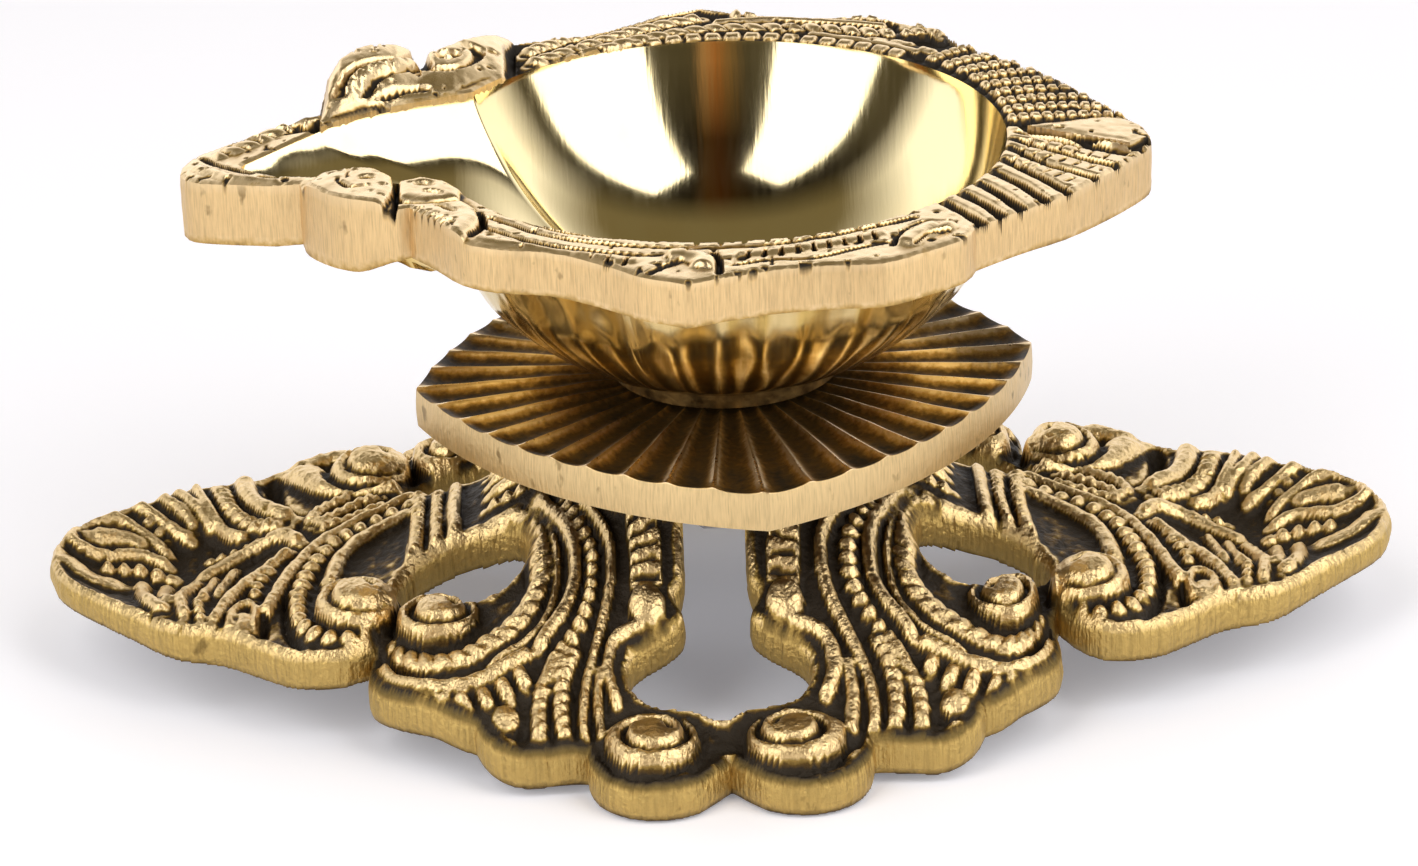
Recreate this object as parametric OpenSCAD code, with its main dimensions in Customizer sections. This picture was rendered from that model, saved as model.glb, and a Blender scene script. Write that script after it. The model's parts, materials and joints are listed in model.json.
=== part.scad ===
// Diya oil lamp in cast brass: a spouted bowl with an ornamental rim, a fluted
// square plate and a pierced scroll base, held together by one centre stud.
// Origin: middle of the base on the table. -X is the spout, +X the shell end.

/* [Base] */
// Length of the base from wing tip to wing tip
base_length = 140; // [116:1:168]
// Depth of the base over its front and back lobes
base_depth = 88; // [73:1:106]
// Thickness of the casting of the base
base_wall = 4.8; // [4:0.1:6]
// Height of the hub that carries the plate
hub_height = 25.2; // [21:0.1:30.5]

/* [Plate] */
// Radius of the square plate at its corners
plate_corner_r = 32; // [26.6:0.1:38.5]
// Radius at the middle of a side, as a share of the radius at the corners
plate_bulge = 0.877; // [0.76:0.001:0.95]
// Thickness of the square plate
plate_t = 4.5; // [3.5:0.1:6]
// Number of flutes on the plate
flute_count = 40; // [24:4:48]
// Angle of the plate about the stud, where it was clamped
plate_yaw = 6; // [-15:1:15]

/* [Bowl] */
// Radius of the bowl's opening; the rim and spout keep their proportion to it
opening_r = 28.5; // [23:0.1:34.5]
// Height of the bowl from its foot to the top of the rim
bowl_height = 23; // [19:0.1:28]
// Thickness of the rim
rim_t = 4.8; // [4:0.1:6]
// Angle of the bowl about the stud, where it was clamped
bowl_yaw = -2; // [-15:1:15]

/* [Fixing] */
// Diameter of the centre stud
stud_d = 6; // [5:0.1:7.2]
// Distance of the stud from the middle of the base, towards the shell end
stud_x = 1.1; // [0:0.1:2.5]

/* [Hidden] */
$fn = 64;
cast_brass = "#b08d45";
polished_brass = "#d9b65c";
dark_brass = "#6b5226";
zinc_steel = "#b9bcc0";

running_gap = 0.05;        // radial clearance of the hub and plate on the stud
face_gap = 0.1;            // between faces that turn on each other
screwed_gap = 0.02;        // radial, where threads hold

kx = base_length/140;      // stretch of the base's outline along X
ky = base_depth/88;        // and along Y
kr = opening_r/28.5;       // size of the rim and spout
stud_r = stud_d/2;
hub_r = 15;
hub_wall = 6;
washer_t = 1;
spring_t = 1.5;
nut_t = 0.53*stud_d; // thin nut, hidden under the hub
collar_t = 2;
plate_z = hub_height + face_gap;
collar_z = plate_z + plate_t + face_gap;
bowl_z = collar_z + collar_t;
rim_z = bowl_z + bowl_height;
rim_under = rim_z - rim_t;
hub_under = hub_height - hub_wall;
bowl_floor = bowl_z + 3.4; // lowest point inside the bowl

// Smooth curve through a list of points, with n steps to each span.
function spline_at(a, b, c, d, t) =
    0.5*((2*b) + (c - a)*t + (2*a - 5*b + 4*c - d)*t*t
         + (3*b - a - 3*c + d)*t*t*t);
function spline(p, n = 4) = let (m = len(p) - 1) concat(
    [for (i = [0:m - 1], k = [0:n - 1])
        spline_at(p[max(i - 1, 0)], p[i], p[i + 1], p[min(i + 2, m)], k/n)],
    [p[m]]);
// Arc about c from angle a to angle b.
function arc(c, r, a, b, n = 8) =
    [for (i = [0:n]) c + r*[cos(a + (b - a)*i/n), sin(a + (b - a)*i/n)]];
// Half outlines made whole, about the long axis and about the cross axis.
function both_y(p) = concat(p, [for (i = [len(p) - 1:-1:0]) [p[i].x, -p[i].y]]);
function both_x(p) = concat(p, [for (i = [len(p) - 2:-1:1]) [-p[i].x, p[i].y]]);
function stretch(p, a, b) = [for (q = p) [a*q.x, b*q.y]];

// A copy in each quarter of the plan, or in each half.
module four() { for (x = [0, 1], y = [0, 1]) mirror([x, 0, 0]) mirror([0, y, 0]) children(); }
module ends() { for (x = [0, 1]) mirror([x, 0, 0]) children(); }
module sides() { for (y = [0, 1]) mirror([0, y, 0]) children(); }
module at_stud(z = 0) { translate([stud_x, 0, z]) children(); }
module ring(r1, r2, h) {
    difference() {
        cylinder(r = r1, h = h);
        translate([0, 0, -1]) cylinder(r = r2, h = h + 2);
    }
}

// ---- base ----

// Half outline of an arm and its wing, from the hub out to the tip.
wing_edge = spline([[8, 7], [20, 6.6], [28, 6.6], [32.5, 9], [33.5, 14], [34.2, 20],
    [38, 24], [43, 23.5], [47, 20.8], [51, 18], [56, 16.8], [60, 13.8], [64.5, 10.2],
    [68.5, 6], [70, 1.5]], 3);
// Half outline of a lobe: two scroll bulges, a smaller bulge and the side corner.
lobe_edge = concat([[0, 39]], arc([7.2, 37.2], 6.8, 125, 0),
    arc([20, 32], 5.6, 100, 20, 6), spline([[26.4, 33.6], [29.4, 32], [33, 29.6], [35.4, 27],
    [35.7, 24], [35, 20.5], [35.6, 16], [33, 9]], 3), [[20, 4], [0, 4]]);
// Opening between an arm and a lobe, and half of the keyhole in a lobe.
scroll_hole = spline([[19.6, 11], [20.6, 8], [23.5, 6.8], [28, 6.7], [32.6, 9.5],
    [33.4, 13], [30.5, 15.6], [27, 16.4], [23.5, 17], [20.5, 14.5], [19.6, 11]], 3);
keyhole = concat([[0, 15.5]], spline([[3.4, 15.5], [3.4, 20], [4.4, 21.8], [3.4, 23.6], [5, 25.2],
    [8.6, 27.4], [9.2, 30], [7, 32.6], [2.6, 33.4]], 3), [[0, 34.6]]);

// Top of the casting above a radius for the arms and wings, and for the lobes.
// The slopes up to the hub follow its height, 25.2 as drawn; what lies below `low` stays put.
function climb(p, low) = [for (q = p)
    [q.x, q.y <= low ? q.y : low + (q.y - low)*(hub_height - low)/(25.2 - low)]];
wing_top = climb([[0, 25.2], [hub_r, 25.2], [17, 21.6], [20, 19], [25, 15.9], [30, 13.6],
    [36, 11.8], [42, 10.8], [50, 10.3], [60, 10.6], [66, 11.3], [72, 12.2]], 13.6);
lobe_top = climb([[0, 25.2], [hub_r, 25.2], [17, 19.6], [20, 17.2], [25, 14.6], [31, 12],
    [37, 10], [44, 8.2], [56, 6]], 12);
// Top of the lobes above a distance from the long axis. Their ends stand on the table,
// where the underside is ground flat.
lobe_fall = climb([[0, 40], [15, 21.4], [18, 18], [22, 14.4], [26, 11.8], [30, 9.4],
    [35, 6.6], [38, base_wall + 0.1], [44, base_wall - 0.4], [50, base_wall - 0.6]], 11.8);

module revolved_under(top, drop) {
    rotate_extrude() polygon(concat([for (p = top) [kx*p.x, p.y - drop]],
        [[kx*top[len(top) - 1].x, -9], [0, -9]]));
}
module arch_under(fall, drop) {
    side = [for (p = concat(fall, [[fall[len(fall) - 1].x, drop - 9]])) [ky*p.x, p.y - drop]];
    rotate([90, 0, 90]) linear_extrude(200, center = true) polygon(both_x(concat(side, [[0, -9]])));
}
module wing_plan() { ends() polygon(stretch(both_y(wing_edge), kx, ky)); }
module lobe_plan() { sides() polygon(stretch(both_x(lobe_edge), kx, ky)); }
module keyhole_plan() { sides() polygon(stretch(both_x(keyhole), kx, ky)); }
module scroll_hole_plan() { four() polygon(stretch(scroll_hole, kx, ky)); }
module tall(h = 60) { translate([0, 0, -10]) linear_extrude(h) children(); }

module wing_shell() {
    difference() {
        intersection() { tall() wing_plan(); revolved_under(wing_top, 0); }
        revolved_under(wing_top, base_wall);
        ends() translate([kx*57, 0, 29.5]) sphere(r = 22);
    }
}
module lobe_shell() {
    difference() {
        intersection() {
            tall() lobe_plan();
            revolved_under(lobe_top, 0);
            arch_under(lobe_fall, 0);
        }
        intersection() {
            revolved_under(lobe_top, base_wall);
            arch_under(lobe_fall, base_wall);
        }
    }
}
module scroll_knob(x, y, top, r) {
    translate([kx*x, ky*y, top - r]) difference() {
        sphere(r = r);
        translate([0, 0, -1.4*r]) cube([3*r, 3*r, 2*r], center = true);
    }
}
module base() {
    color(cast_brass) difference() {
        union() {
            wing_shell();
            lobe_shell();
            translate([0, 0, hub_under]) cylinder(r = hub_r + 2, h = hub_wall);
            four() {
                scroll_knob(37.3, 17, 14.4, 4.4);
                scroll_knob(28.6, 19.6, 12.9, 4.2);
                scroll_knob(7.2, 37.6, 8, 4.2);
            }
        }
        tall() scroll_hole_plan();
        tall() keyhole_plan();
        at_stud(-1) cylinder(r = stud_r + running_gap, h = 60);
        translate([0, 0, -10]) cube([200, 200, 20], center = true);
    }
}

// ---- plate ----

// Each side is one arc through two corners and the middle of the side.
plate_side_r = plate_bulge*plate_corner_r;
side_rise = plate_side_r - plate_corner_r*cos(45);
side_arc_r = (pow(plate_corner_r*sin(45), 2) + pow(side_rise, 2))/(2*side_rise);

module plate_plan() {
    intersection() {
        intersection_for(a = [45:90:315])
            rotate(a) translate([plate_side_r - side_arc_r, 0]) circle(r = side_arc_r, $fn = 128);
        circle(r = plate_corner_r - 0.4);
    }
}
module square_plate() {
    color(cast_brass) at_stud(plate_z) rotate(plate_yaw) difference() {
        linear_extrude(plate_t) plate_plan();
        for (i = [0:flute_count - 1]) rotate((i + 0.5)*360/flute_count)
            translate([plate_corner_r/2, 0, plate_t + 1.1]) rotate([0, 90, 0])
                cylinder(r = 1.6, h = plate_corner_r);
        translate([0, 0, -1]) cylinder(r = stud_r + running_gap, h = 20);
    }
}

// ---- bowl ----

// Half outline of the rim, from the spout's tip to the shell end's tip.
rim_edge = concat(spline([[-54.7, 1.2], [-53.4, 3.6], [-49.6, 6], [-44.6, 8.4]], 3),
    spline([[-41.8, 8.8], [-40.8, 12.4], [-37.8, 16.4], [-34, 18.9], [-31, 20.2]], 3),
    spline([[-30, 19.8], [-27.5, 23], [-24.6, 27.2], [-21, 29.4], [-16, 30.4], [-11, 33.6],
    [-7, 37]], 3), [[-2.6, 39.2], [0.5, 37.8]], spline([[5, 36.2], [10.5, 35.2], [16, 34.9],
    [20, 32.4], [23.4, 29.8], [24.6, 27.8]], 3), spline([[25, 26.4], [29, 22.4], [34, 17.4],
    [38.8, 10.4], [42.8, 3.6], [43.6, 1]], 3));

bowl_deep = rim_z - bowl_floor;
inner_curve = concat(spline([[0, bowl_floor], [0.26*opening_r, bowl_floor + 0.015*bowl_deep],
    [0.49*opening_r, bowl_floor + 0.1*bowl_deep], [0.7*opening_r, bowl_floor + 0.27*bowl_deep],
    [0.86*opening_r, bowl_floor + 0.5*bowl_deep], [0.955*opening_r, bowl_floor + 0.76*bowl_deep],
    [opening_r, rim_z]], 4));
foot_r = 13.2*kr;
shoulder_r = opening_r + 1.8;
spout_wall = 1.5;
channel_z = bowl_floor + 0.52*bowl_deep;
outer_curve = spline([[foot_r, bowl_z], [foot_r + 6*kr, bowl_z + 3.2],
    [shoulder_r - 5.6*kr, bowl_z + 0.37*bowl_height], [shoulder_r - 1.4, rim_under - 2.4],
    [shoulder_r, rim_under + 2]], 4);

module bird_heads() {
    sides() {
        translate([-36.5*kr, 14.6*kr, rim_under + 2]) cylinder(r = 4.4, h = rim_t + 1);
        translate([-30.5*kr, 16.2*kr, rim_under + 2]) cylinder(r = 3.4, h = rim_t);
    }
}
// The spout's plan up to top_z, its floor falling from lift_z at the tip to low_z at the bowl.
module spout_run(plan, low_z, lift_z, top_z) {
    intersection() {
        translate([0, 0, bowl_z]) linear_extrude(rim_z + 9 - bowl_z) polygon(stretch(both_y(plan), kr, kr));
        rotate([90, 0, 0]) linear_extrude(80*kr, center = true)
            polygon([[-53*kr, lift_z], [-24*kr, low_z], [-8, low_z], [-8, top_z], [-53*kr, top_z]]);
    }
}
module spout_channel() {
    spout_run([[-51.6, 1], [-45, 4.6], [-38.5, 7.8], [-24, 13], [-9, 13]],
        channel_z, rim_under + spout_wall, rim_z + 9);
}
module spout_keel() {
    spout_run([[-52.4, 1.4], [-45, 6.4], [-38.5, 9.8], [-24, 15], [-9, 15]], channel_z - 2, rim_under - 0.1,
        rim_under + 1);
}
module bowl() {
    color(polished_brass) at_stud() rotate(bowl_yaw) difference() {
        union() {
            translate([0, 0, rim_under]) linear_extrude(rim_t)
                polygon(stretch(both_y(rim_edge), kr, kr));
            rotate_extrude($fn = 96)
                polygon(concat([[0, bowl_z]], outer_curve, [[0, rim_under + 2]]));
            bird_heads();
            spout_keel();
        }
        rotate_extrude($fn = 96)
            polygon(concat(inner_curve, [[opening_r, rim_z + 9], [0, rim_z + 9]]));
        spout_channel();
        translate([0, 0, bowl_z - 1]) cylinder(r = stud_r + screwed_gap, h = 3);
    }
}
module foot_collar() {
    color(dark_brass) at_stud(collar_z) ring(foot_r - 1.4, stud_r + screwed_gap, collar_t);
}

// ---- fixing ----

nut_z = hub_under - face_gap - washer_t - spring_t - nut_t;
stud_tail = nut_z - 0.8;

module centre_stud() {
    color(zinc_steel) at_stud() {
        translate([0, 0, stud_tail]) cylinder(r1 = stud_r - 0.8, r2 = stud_r, h = 0.8);
        translate([0, 0, stud_tail + 0.8]) cylinder(r = stud_r, h = bowl_z + 1.9 - stud_tail - 0.8);
    }
}
module plain_washer() {
    color(zinc_steel) at_stud(hub_under - face_gap - washer_t) ring(2*stud_r, stud_r + 0.2, washer_t);
}
module spring_washer() {
    color(zinc_steel) at_stud(hub_under - face_gap - washer_t - spring_t) difference() {
        ring(1.7*stud_r, stud_r + 0.2, spring_t);
        rotate(60) translate([stud_r + 1, 0, spring_t/2]) rotate([20, 0, 0])
            cube([3*stud_r, 0.8, 3*spring_t], center = true);
    }
}
module hex_nut() {
    color(zinc_steel) at_stud(nut_z) difference() {
        cylinder(r = 0.96*stud_d, h = nut_t, $fn = 6);
        translate([0, 0, -1]) cylinder(r = stud_r + screwed_gap, h = nut_t + 2);
    }
}

bowl();
foot_collar();
square_plate();
base();
centre_stud();
plain_washer();
spring_washer();
hex_nut();
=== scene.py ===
# %% [markdown]
# # A cast-brass diya: from the CAD frame to the finished casting
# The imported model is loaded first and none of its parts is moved. Each casting is then modelled again
# in detail round it: the pierced base, the rim with its birds, the polished cup and the fluted plate.
# Lengths are written in millimetres and turned into metres when a mesh is made.

# %% Load the frame
import json
import math

import bpy
import numpy as np
from mathutils import Matrix, Vector

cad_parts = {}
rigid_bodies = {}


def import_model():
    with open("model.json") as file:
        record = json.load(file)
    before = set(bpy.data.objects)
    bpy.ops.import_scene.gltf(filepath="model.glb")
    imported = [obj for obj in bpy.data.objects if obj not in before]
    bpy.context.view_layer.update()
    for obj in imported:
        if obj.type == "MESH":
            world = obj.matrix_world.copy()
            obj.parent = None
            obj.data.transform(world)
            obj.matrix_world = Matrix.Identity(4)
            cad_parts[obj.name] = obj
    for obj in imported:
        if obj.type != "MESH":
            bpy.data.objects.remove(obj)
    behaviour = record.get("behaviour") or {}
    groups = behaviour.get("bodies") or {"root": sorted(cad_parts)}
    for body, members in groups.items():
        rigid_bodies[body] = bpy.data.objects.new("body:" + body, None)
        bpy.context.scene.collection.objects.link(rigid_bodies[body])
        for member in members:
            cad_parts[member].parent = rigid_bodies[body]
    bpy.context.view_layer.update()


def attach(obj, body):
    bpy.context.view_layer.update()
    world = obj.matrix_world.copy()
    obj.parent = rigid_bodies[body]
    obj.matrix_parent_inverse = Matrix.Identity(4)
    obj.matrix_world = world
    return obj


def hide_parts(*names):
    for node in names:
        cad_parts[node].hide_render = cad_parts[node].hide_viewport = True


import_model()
MM = 0.001

# %% [markdown]
# ## Working with curves and fields
# Ornament on a sand casting is carved into the pattern as ribs, ropes and rows of beads along curves.
# It is made the same way here: a grid of heights, a curve drawn across it, and a profile swept along
# the curve. These helpers give a smooth curve, a soft random field and the distance to an outline.

# %% Smooth lines


def ease(a, b, x):
    """Goes smoothly from 0 at a to 1 at b."""
    t = np.clip((x - a) / (b - a), 0, 1)
    return t * t * (3 - 2 * t)


def curve(points, steps=5):
    """A smooth line through the points."""
    p = np.array(points, float)
    p = np.vstack([2 * p[0] - p[1], p, 2 * p[-1] - p[-2]])
    t = np.linspace(0, 1, steps, endpoint=False)[:, None]
    out = []
    for a, b, c, d in zip(p, p[1:], p[2:], p[3:]):
        out.append(0.5 * (2 * b + (c - a) * t + (2 * a - 5 * b + 4 * c - d) * t * t
                          + (3 * b - a - 3 * c + d) * t ** 3))
    return np.vstack(out + [p[-2:-1]])


def resample(points, n):
    """The same line with n points at equal steps along it."""
    points = np.array(points, float)
    run = np.concatenate([[0], np.cumsum(np.hypot(*np.diff(points, axis=0).T))])
    t = np.linspace(0, run[-1], n)
    return np.stack([np.interp(t, run, points[:, 0]), np.interp(t, run, points[:, 1])], 1)


# %% Soft random fields and distances


def noise(x, y, size, seed=0):
    """A soft random field between -1 and 1, whose bumps are this size."""
    lattice = np.random.default_rng(seed).uniform(-1, 1, (98, 98))
    u, v = (x / size + 40) % 96, (y / size + 40) % 96
    i, j = u.astype(int), v.astype(int)
    u, v = ease(0, 1, u - i), ease(0, 1, v - j)
    low = lattice[i, j] * (1 - u) + lattice[i + 1, j] * u
    high = lattice[i, j + 1] * (1 - u) + lattice[i + 1, j + 1] * u
    return low * (1 - v) + high * v


def inside(outline, x, y):
    """Distance to the nearest edge of a closed outline: positive inside, negative outside."""
    outline = np.array(outline, float)
    near = np.full(x.shape, 1e9)
    within = np.zeros(x.shape, bool)
    for (ax, ay), (bx, by) in zip(outline, np.roll(outline, -1, 0)):
        ex, ey = bx - ax, by - ay
        t = np.clip(((x - ax) * ex + (y - ay) * ey) / (ex * ex + ey * ey + 1e-12), 0, 1)
        near = np.minimum(near, (x - ax - t * ex) ** 2 + (y - ay - t * ey) ** 2)
        if ay != by:
            within ^= ((ay > y) != (by > y)) & (x < ex * (y - ay) / ey + ax)
    return np.where(within, 1, -1) * np.sqrt(near)


def soften(field, cells):
    """The field blurred by a round brush with a radius of this many cells."""
    fx, fy = np.meshgrid(np.fft.fftfreq(field.shape[0]), np.fft.rfftfreq(field.shape[1]), indexing="ij")
    brush = np.exp(-2 * (math.pi * cells) ** 2 * (fx ** 2 + fy ** 2))
    return np.fft.irfft2(np.fft.rfft2(field) * brush, field.shape)


# %% [markdown]
# ## The carver's strokes
# Each stroke is (kind, half width, height, pitch, points). A rib is a smooth ridge, a rope is a ridge cut
# across at an angle, beads are a row of domes, a ladder is a flat band with cross cuts and a groove
# goes the other way. Strokes are laid over each other by keeping the higher one, as a carver would.

# %% Where a point lies along a line


def measure(line, px, py):
    """For each point: distance to the line, side of it and distance along it; and the line's length."""
    best, side, along = np.full(px.shape, 1e9), np.zeros(px.shape), np.zeros(px.shape)
    run = 0.0
    for (ax, ay), (bx, by) in zip(line, line[1:]):
        ex, ey = bx - ax, by - ay
        length = math.hypot(ex, ey) + 1e-9
        t = np.clip(((px - ax) * ex + (py - ay) * ey) / length ** 2, 0, 1)
        d = np.hypot(px - ax - t * ex, py - ay - t * ey)
        closer = d < best
        best = np.where(closer, d, best)
        side = np.where(closer, np.sign(ex * (py - ay) - ey * (px - ax)), side)
        along = np.where(closer, run + t * length, along)
        run += length
    return best, side, along, run


# %% Shape of each kind of stroke


def off_beat(turn):
    """0 on every whole turn and 1 midway between two of them."""
    return np.abs(turn - np.round(turn)) * 2


def profile(kind, d, side, along, pitch):
    """Height of a raised stroke, from 0 to 1, at d half widths from its middle."""
    round_top = np.sqrt(np.clip(1 - d * d, 0, 1))
    if kind == "rib":
        return round_top ** 0.8
    if kind == "rope":
        cut = off_beat(along / pitch + 0.35 * d * side)
        return round_top ** 0.7 * (0.35 + 0.65 * np.sqrt(np.clip(1 - (1 - cut) ** 3, 0, 1)))
    if kind == "beads":
        step = (along / pitch - np.round(along / pitch)) * pitch
        ball = np.sqrt(np.clip(1 - d * d - (2.05 * step / pitch) ** 2, 0, 1))
        return np.maximum(ball, 0.28 * round_top)
    cut = off_beat(along / pitch)
    if kind == "ladder":
        return ease(1.0, 0.75, d) * np.maximum(ease(0.15, 0.5, cut), ease(0.6, 0.85, d))
    if kind == "ticked":
        return round_top ** 0.5 * (0.55 + 0.45 * ease(0.05, 0.45, cut))
    raise ValueError(kind)


# %% Carving a field of heights


def carve(height, x, y, strokes, ground, fuller=1.0):
    """Lay the strokes on the field. The raised ones stand on `ground` and are `fuller` times as wide."""
    for kind, w, h, pitch, points in strokes:
        w = w * fuller if kind != "groove" else w
        line = curve(points)
        reach = w * (1.5 if kind == "groove" else 1.05)
        lo, hi = line.min(0) - reach, line.max(0) + reach
        where = np.nonzero((x > lo[0]) & (x < hi[0]) & (y > lo[1]) & (y < hi[1]))
        if not len(where[0]):
            continue
        best, side, along, run = measure(line, x[where], y[where])
        d = best / w
        ends = ease(0, 0.8 * w, along) * ease(0, 0.8 * w, run - along) * 0.5 + 0.5
        if kind == "groove":
            height[where] -= h * np.exp(-2 * d ** 4) * ends
            continue
        up = ground + (h - ground) * profile(kind, d, side, along, pitch) * ends
        height[where] = np.maximum(height[where], np.where(best < w, up, -9))
    return height


# %% Domes, spirals and rows of short cuts


def dome(height, x, y, cx, cy, r, top, flat=1.0):
    """A round boss: `flat` below 1 makes it lower than half a ball."""
    d = np.hypot(x - cx, y - cy)
    cap = top - flat * (r - np.sqrt(np.clip(r * r - d * d, 0, None)))
    return np.where(d < 0.93 * r, np.maximum(height, cap), height)


def spiral(cx, cy, r0, r1, start, sweep, steps=14):
    """Points of a spiral from radius r0 to r1, turning through `sweep` degrees."""
    turn = [math.radians(start + sweep * i / steps) for i in range(steps + 1)]
    radius = [r0 + (r1 - r0) * i / steps for i in range(steps + 1)]
    return [(cx + r * math.cos(a), cy + r * math.sin(a)) for r, a in zip(radius, turn)]


def ticks(points, pitch, size, width=0.2, depth=0.7, lean=0.0):
    """Short cuts across a line, one every pitch."""
    line = curve(points)
    run = np.hypot(*np.diff(line, axis=0).T).sum()
    line = resample(line, max(3, int(run / pitch)))
    cuts = []
    for a, p, b in zip(line, line[1:], line[2:]):
        along = (b - a) / np.hypot(*(b - a))
        across = np.array([-along[1], along[0]]) + lean * along
        cuts.append(("groove", width, depth, 0, [tuple(p - size * across), tuple(p + size * across)]))
    return cuts


# %% [markdown]
# ## From a height field to a closed casting
# A casting is a skin on top, a skin underneath and a wall between. Grid cells inside the outline are
# kept, the outermost points are slid onto the true outline so that the edge runs smooth, and the wall is
# stitched in rows that bulge a little, as a filed edge does. Two numbers ride on every point: how
# much dark patina sits there, and whether the place was ground bright on a belt.

# %% Make an object


def make_object(name, points, faces, patina, ground, body, slot, nodes, sharp=40):
    """Millimetres in, an object on its body out. Edges sharper than `sharp` degrees stay sharp."""
    mesh = bpy.data.meshes.new(name)
    mesh.from_pydata((np.asarray(points) * MM).tolist(), [], faces)
    for label, values in (("patina", patina), ("ground", ground)):
        layer = mesh.attributes.new(label, "FLOAT", "POINT")
        layer.data.foreach_set("value", np.asarray(values, np.float32))
    mesh.shade_smooth()
    mesh.set_sharp_from_angle(angle=math.radians(sharp))
    obj = bpy.data.objects.new(name, mesh)
    bpy.context.scene.collection.objects.link(obj)
    if nodes:
        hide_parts(*nodes)
    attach(obj, body)
    print(f"{name}: {len(points)} points, {len(faces)} faces")
    return obj


# %% Cells inside an outline


def cells_inside(room):
    """The grid points in use, the faces between them and the edges along the outline."""
    keep = room > 0
    cell = keep[:-1, :-1] & keep[1:, :-1] & keep[1:, 1:] & keep[:-1, 1:]
    used = np.zeros(room.shape, bool)
    for i in (0, 1):
        for j in (0, 1):
            used[i:room.shape[0] - 1 + i, j:room.shape[1] - 1 + j] |= cell
    index = np.full(room.shape, -1)
    index[used] = np.arange(used.sum())
    corner = [index[:-1, :-1][cell], index[1:, :-1][cell], index[1:, 1:][cell], index[:-1, 1:][cell]]
    padded = np.pad(cell, 1)
    beside = (padded[1:-1, :-2], padded[2:, 1:-1], padded[1:-1, 2:], padded[:-2, 1:-1])
    gone = [~neighbour[cell] for neighbour in beside]
    edge = np.vstack([np.stack([corner[k][gone[k]], corner[(k + 1) % 4][gone[k]]], 1) for k in range(4)])
    return used, np.stack(corner, 1), edge


# %% Close the casting


def sheet(x, y, room, top, bottom, stain, rows=5, bulge=0.12, soft=(1.0, 0.7)):
    """A closed skin. `soft` is how far in and how far down the upper edge is rounded."""
    step = x[1, 0] - x[0, 0]
    used, upper, edge = cells_inside(room)
    count = int(used.sum())
    rim = np.unique(edge)
    gx, gy = np.gradient(room, step)
    size = np.hypot(gx, gy)[used] + 1e-6
    nx, ny = gx[used] / size, gy[used] / size
    px, py = x[used].copy(), y[used].copy()
    slide = np.zeros(count)
    slide[rim] = np.clip(room[used][rim], 0, 1.6 * step)
    px -= nx * slide
    py -= ny * slide
    from_edge = room[used].copy()
    from_edge[rim] = 0
    turned = 1 - np.sqrt(1 - np.clip(1 - from_edge / soft[0], 0, 1) ** 2)
    high, low = top[used] - soft[1] * turned, bottom[used] + 0.5 * soft[1] * turned
    high = np.maximum(high, low + 0.8)
    points = [np.stack([px, py, high], 1), np.stack([px, py, low], 1)]
    local = np.full(count, -1)
    local[rim] = np.arange(len(rim))
    rings = [edge]
    for k in range(1, rows):
        t = k / rows
        wobble = 0.05 * noise(px[rim] * 3 + py[rim], high[rim] * t * 9, 1.1, 90 + k)
        out = bulge * math.sin(math.pi * t) + wobble
        z = high[rim] + (low[rim] - high[rim]) * t
        points.append(np.stack([px[rim] - nx[rim] * out, py[rim] - ny[rim] * out, z], 1))
        rings.append(2 * count + (k - 1) * len(rim) + local[edge])
    rings.append(edge + count)
    faces = upper.tolist() + (upper[:, ::-1] + count).tolist()
    for a, b in zip(rings, rings[1:]):
        faces += np.stack([a[:, 1], a[:, 0], b[:, 0], b[:, 1]], 1).tolist()
    walls = (rows - 1) * len(rim)
    patina = np.concatenate([stain[used], np.full(count, 0.75), np.full(walls, 0.3)])
    patina[count + rim] = 0.5
    ground = np.concatenate([np.zeros(2 * count), np.ones(walls)])
    ground[rim] = 0.5
    return np.vstack(points), faces, patina, ground


# %% Where patina gathers


def weathered(height, step, deep, reach=0.55):
    """Patina sits where the surface is lower than its surroundings, and in everything deep."""
    hollow = soften(height, reach / step) - height
    wide = soften(height, 1.6 / step) - height
    return np.clip(0.30 + 2.1 * hollow + 0.6 * wide + deep, 0, 1)


# %% [markdown]
# ## The pierced base
# Two dished wings and two scrolled lobes meet at a hub. The plan is drawn for one quarter and read
# with both signs dropped, so all four quarters share one carving, as they would on a carved pattern.
# A slow random field nudges the lines by a fraction of a millimetre, so that no two quarters match.

# %% Plan of the base


def arc(cx, cy, r, a, b, n=8):
    """Points on a circle from angle a to angle b."""
    return [(cx + r * math.cos(math.radians(a + (b - a) * i / n)),
             cy + r * math.sin(math.radians(a + (b - a) * i / n))) for i in range(n + 1)]


WING = [(8, 7), (20, 6.6), (28, 6.6), (32.5, 9), (33.5, 14), (34.2, 20), (38, 24), (43, 23.5), (47, 20.8),
        (51, 18), (56, 16.8), (60, 13.8), (64.5, 10.2), (68.5, 6), (70, 1.5)]
LOBE_SIDE = [(26.4, 33.6), (29.4, 32), (33, 29.6), (35.4, 27), (35.7, 24), (35, 20.5), (35.6, 16), (33, 9)]
SCROLL_GAP = [(19.6, 11), (20.6, 8), (23.5, 6.8), (28, 6.7), (32.6, 9.5), (33.4, 13), (30.5, 15.6),
              (27, 16.4), (23.5, 17), (20.5, 14.5), (19.6, 11)]
KEYHOLE = [(3.4, 15.5), (3.4, 20), (4.4, 21.8), (3.4, 23.6), (5, 25.2), (8.6, 27.4), (9.2, 30), (7, 32.6),
           (2.6, 33.4)]

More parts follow.
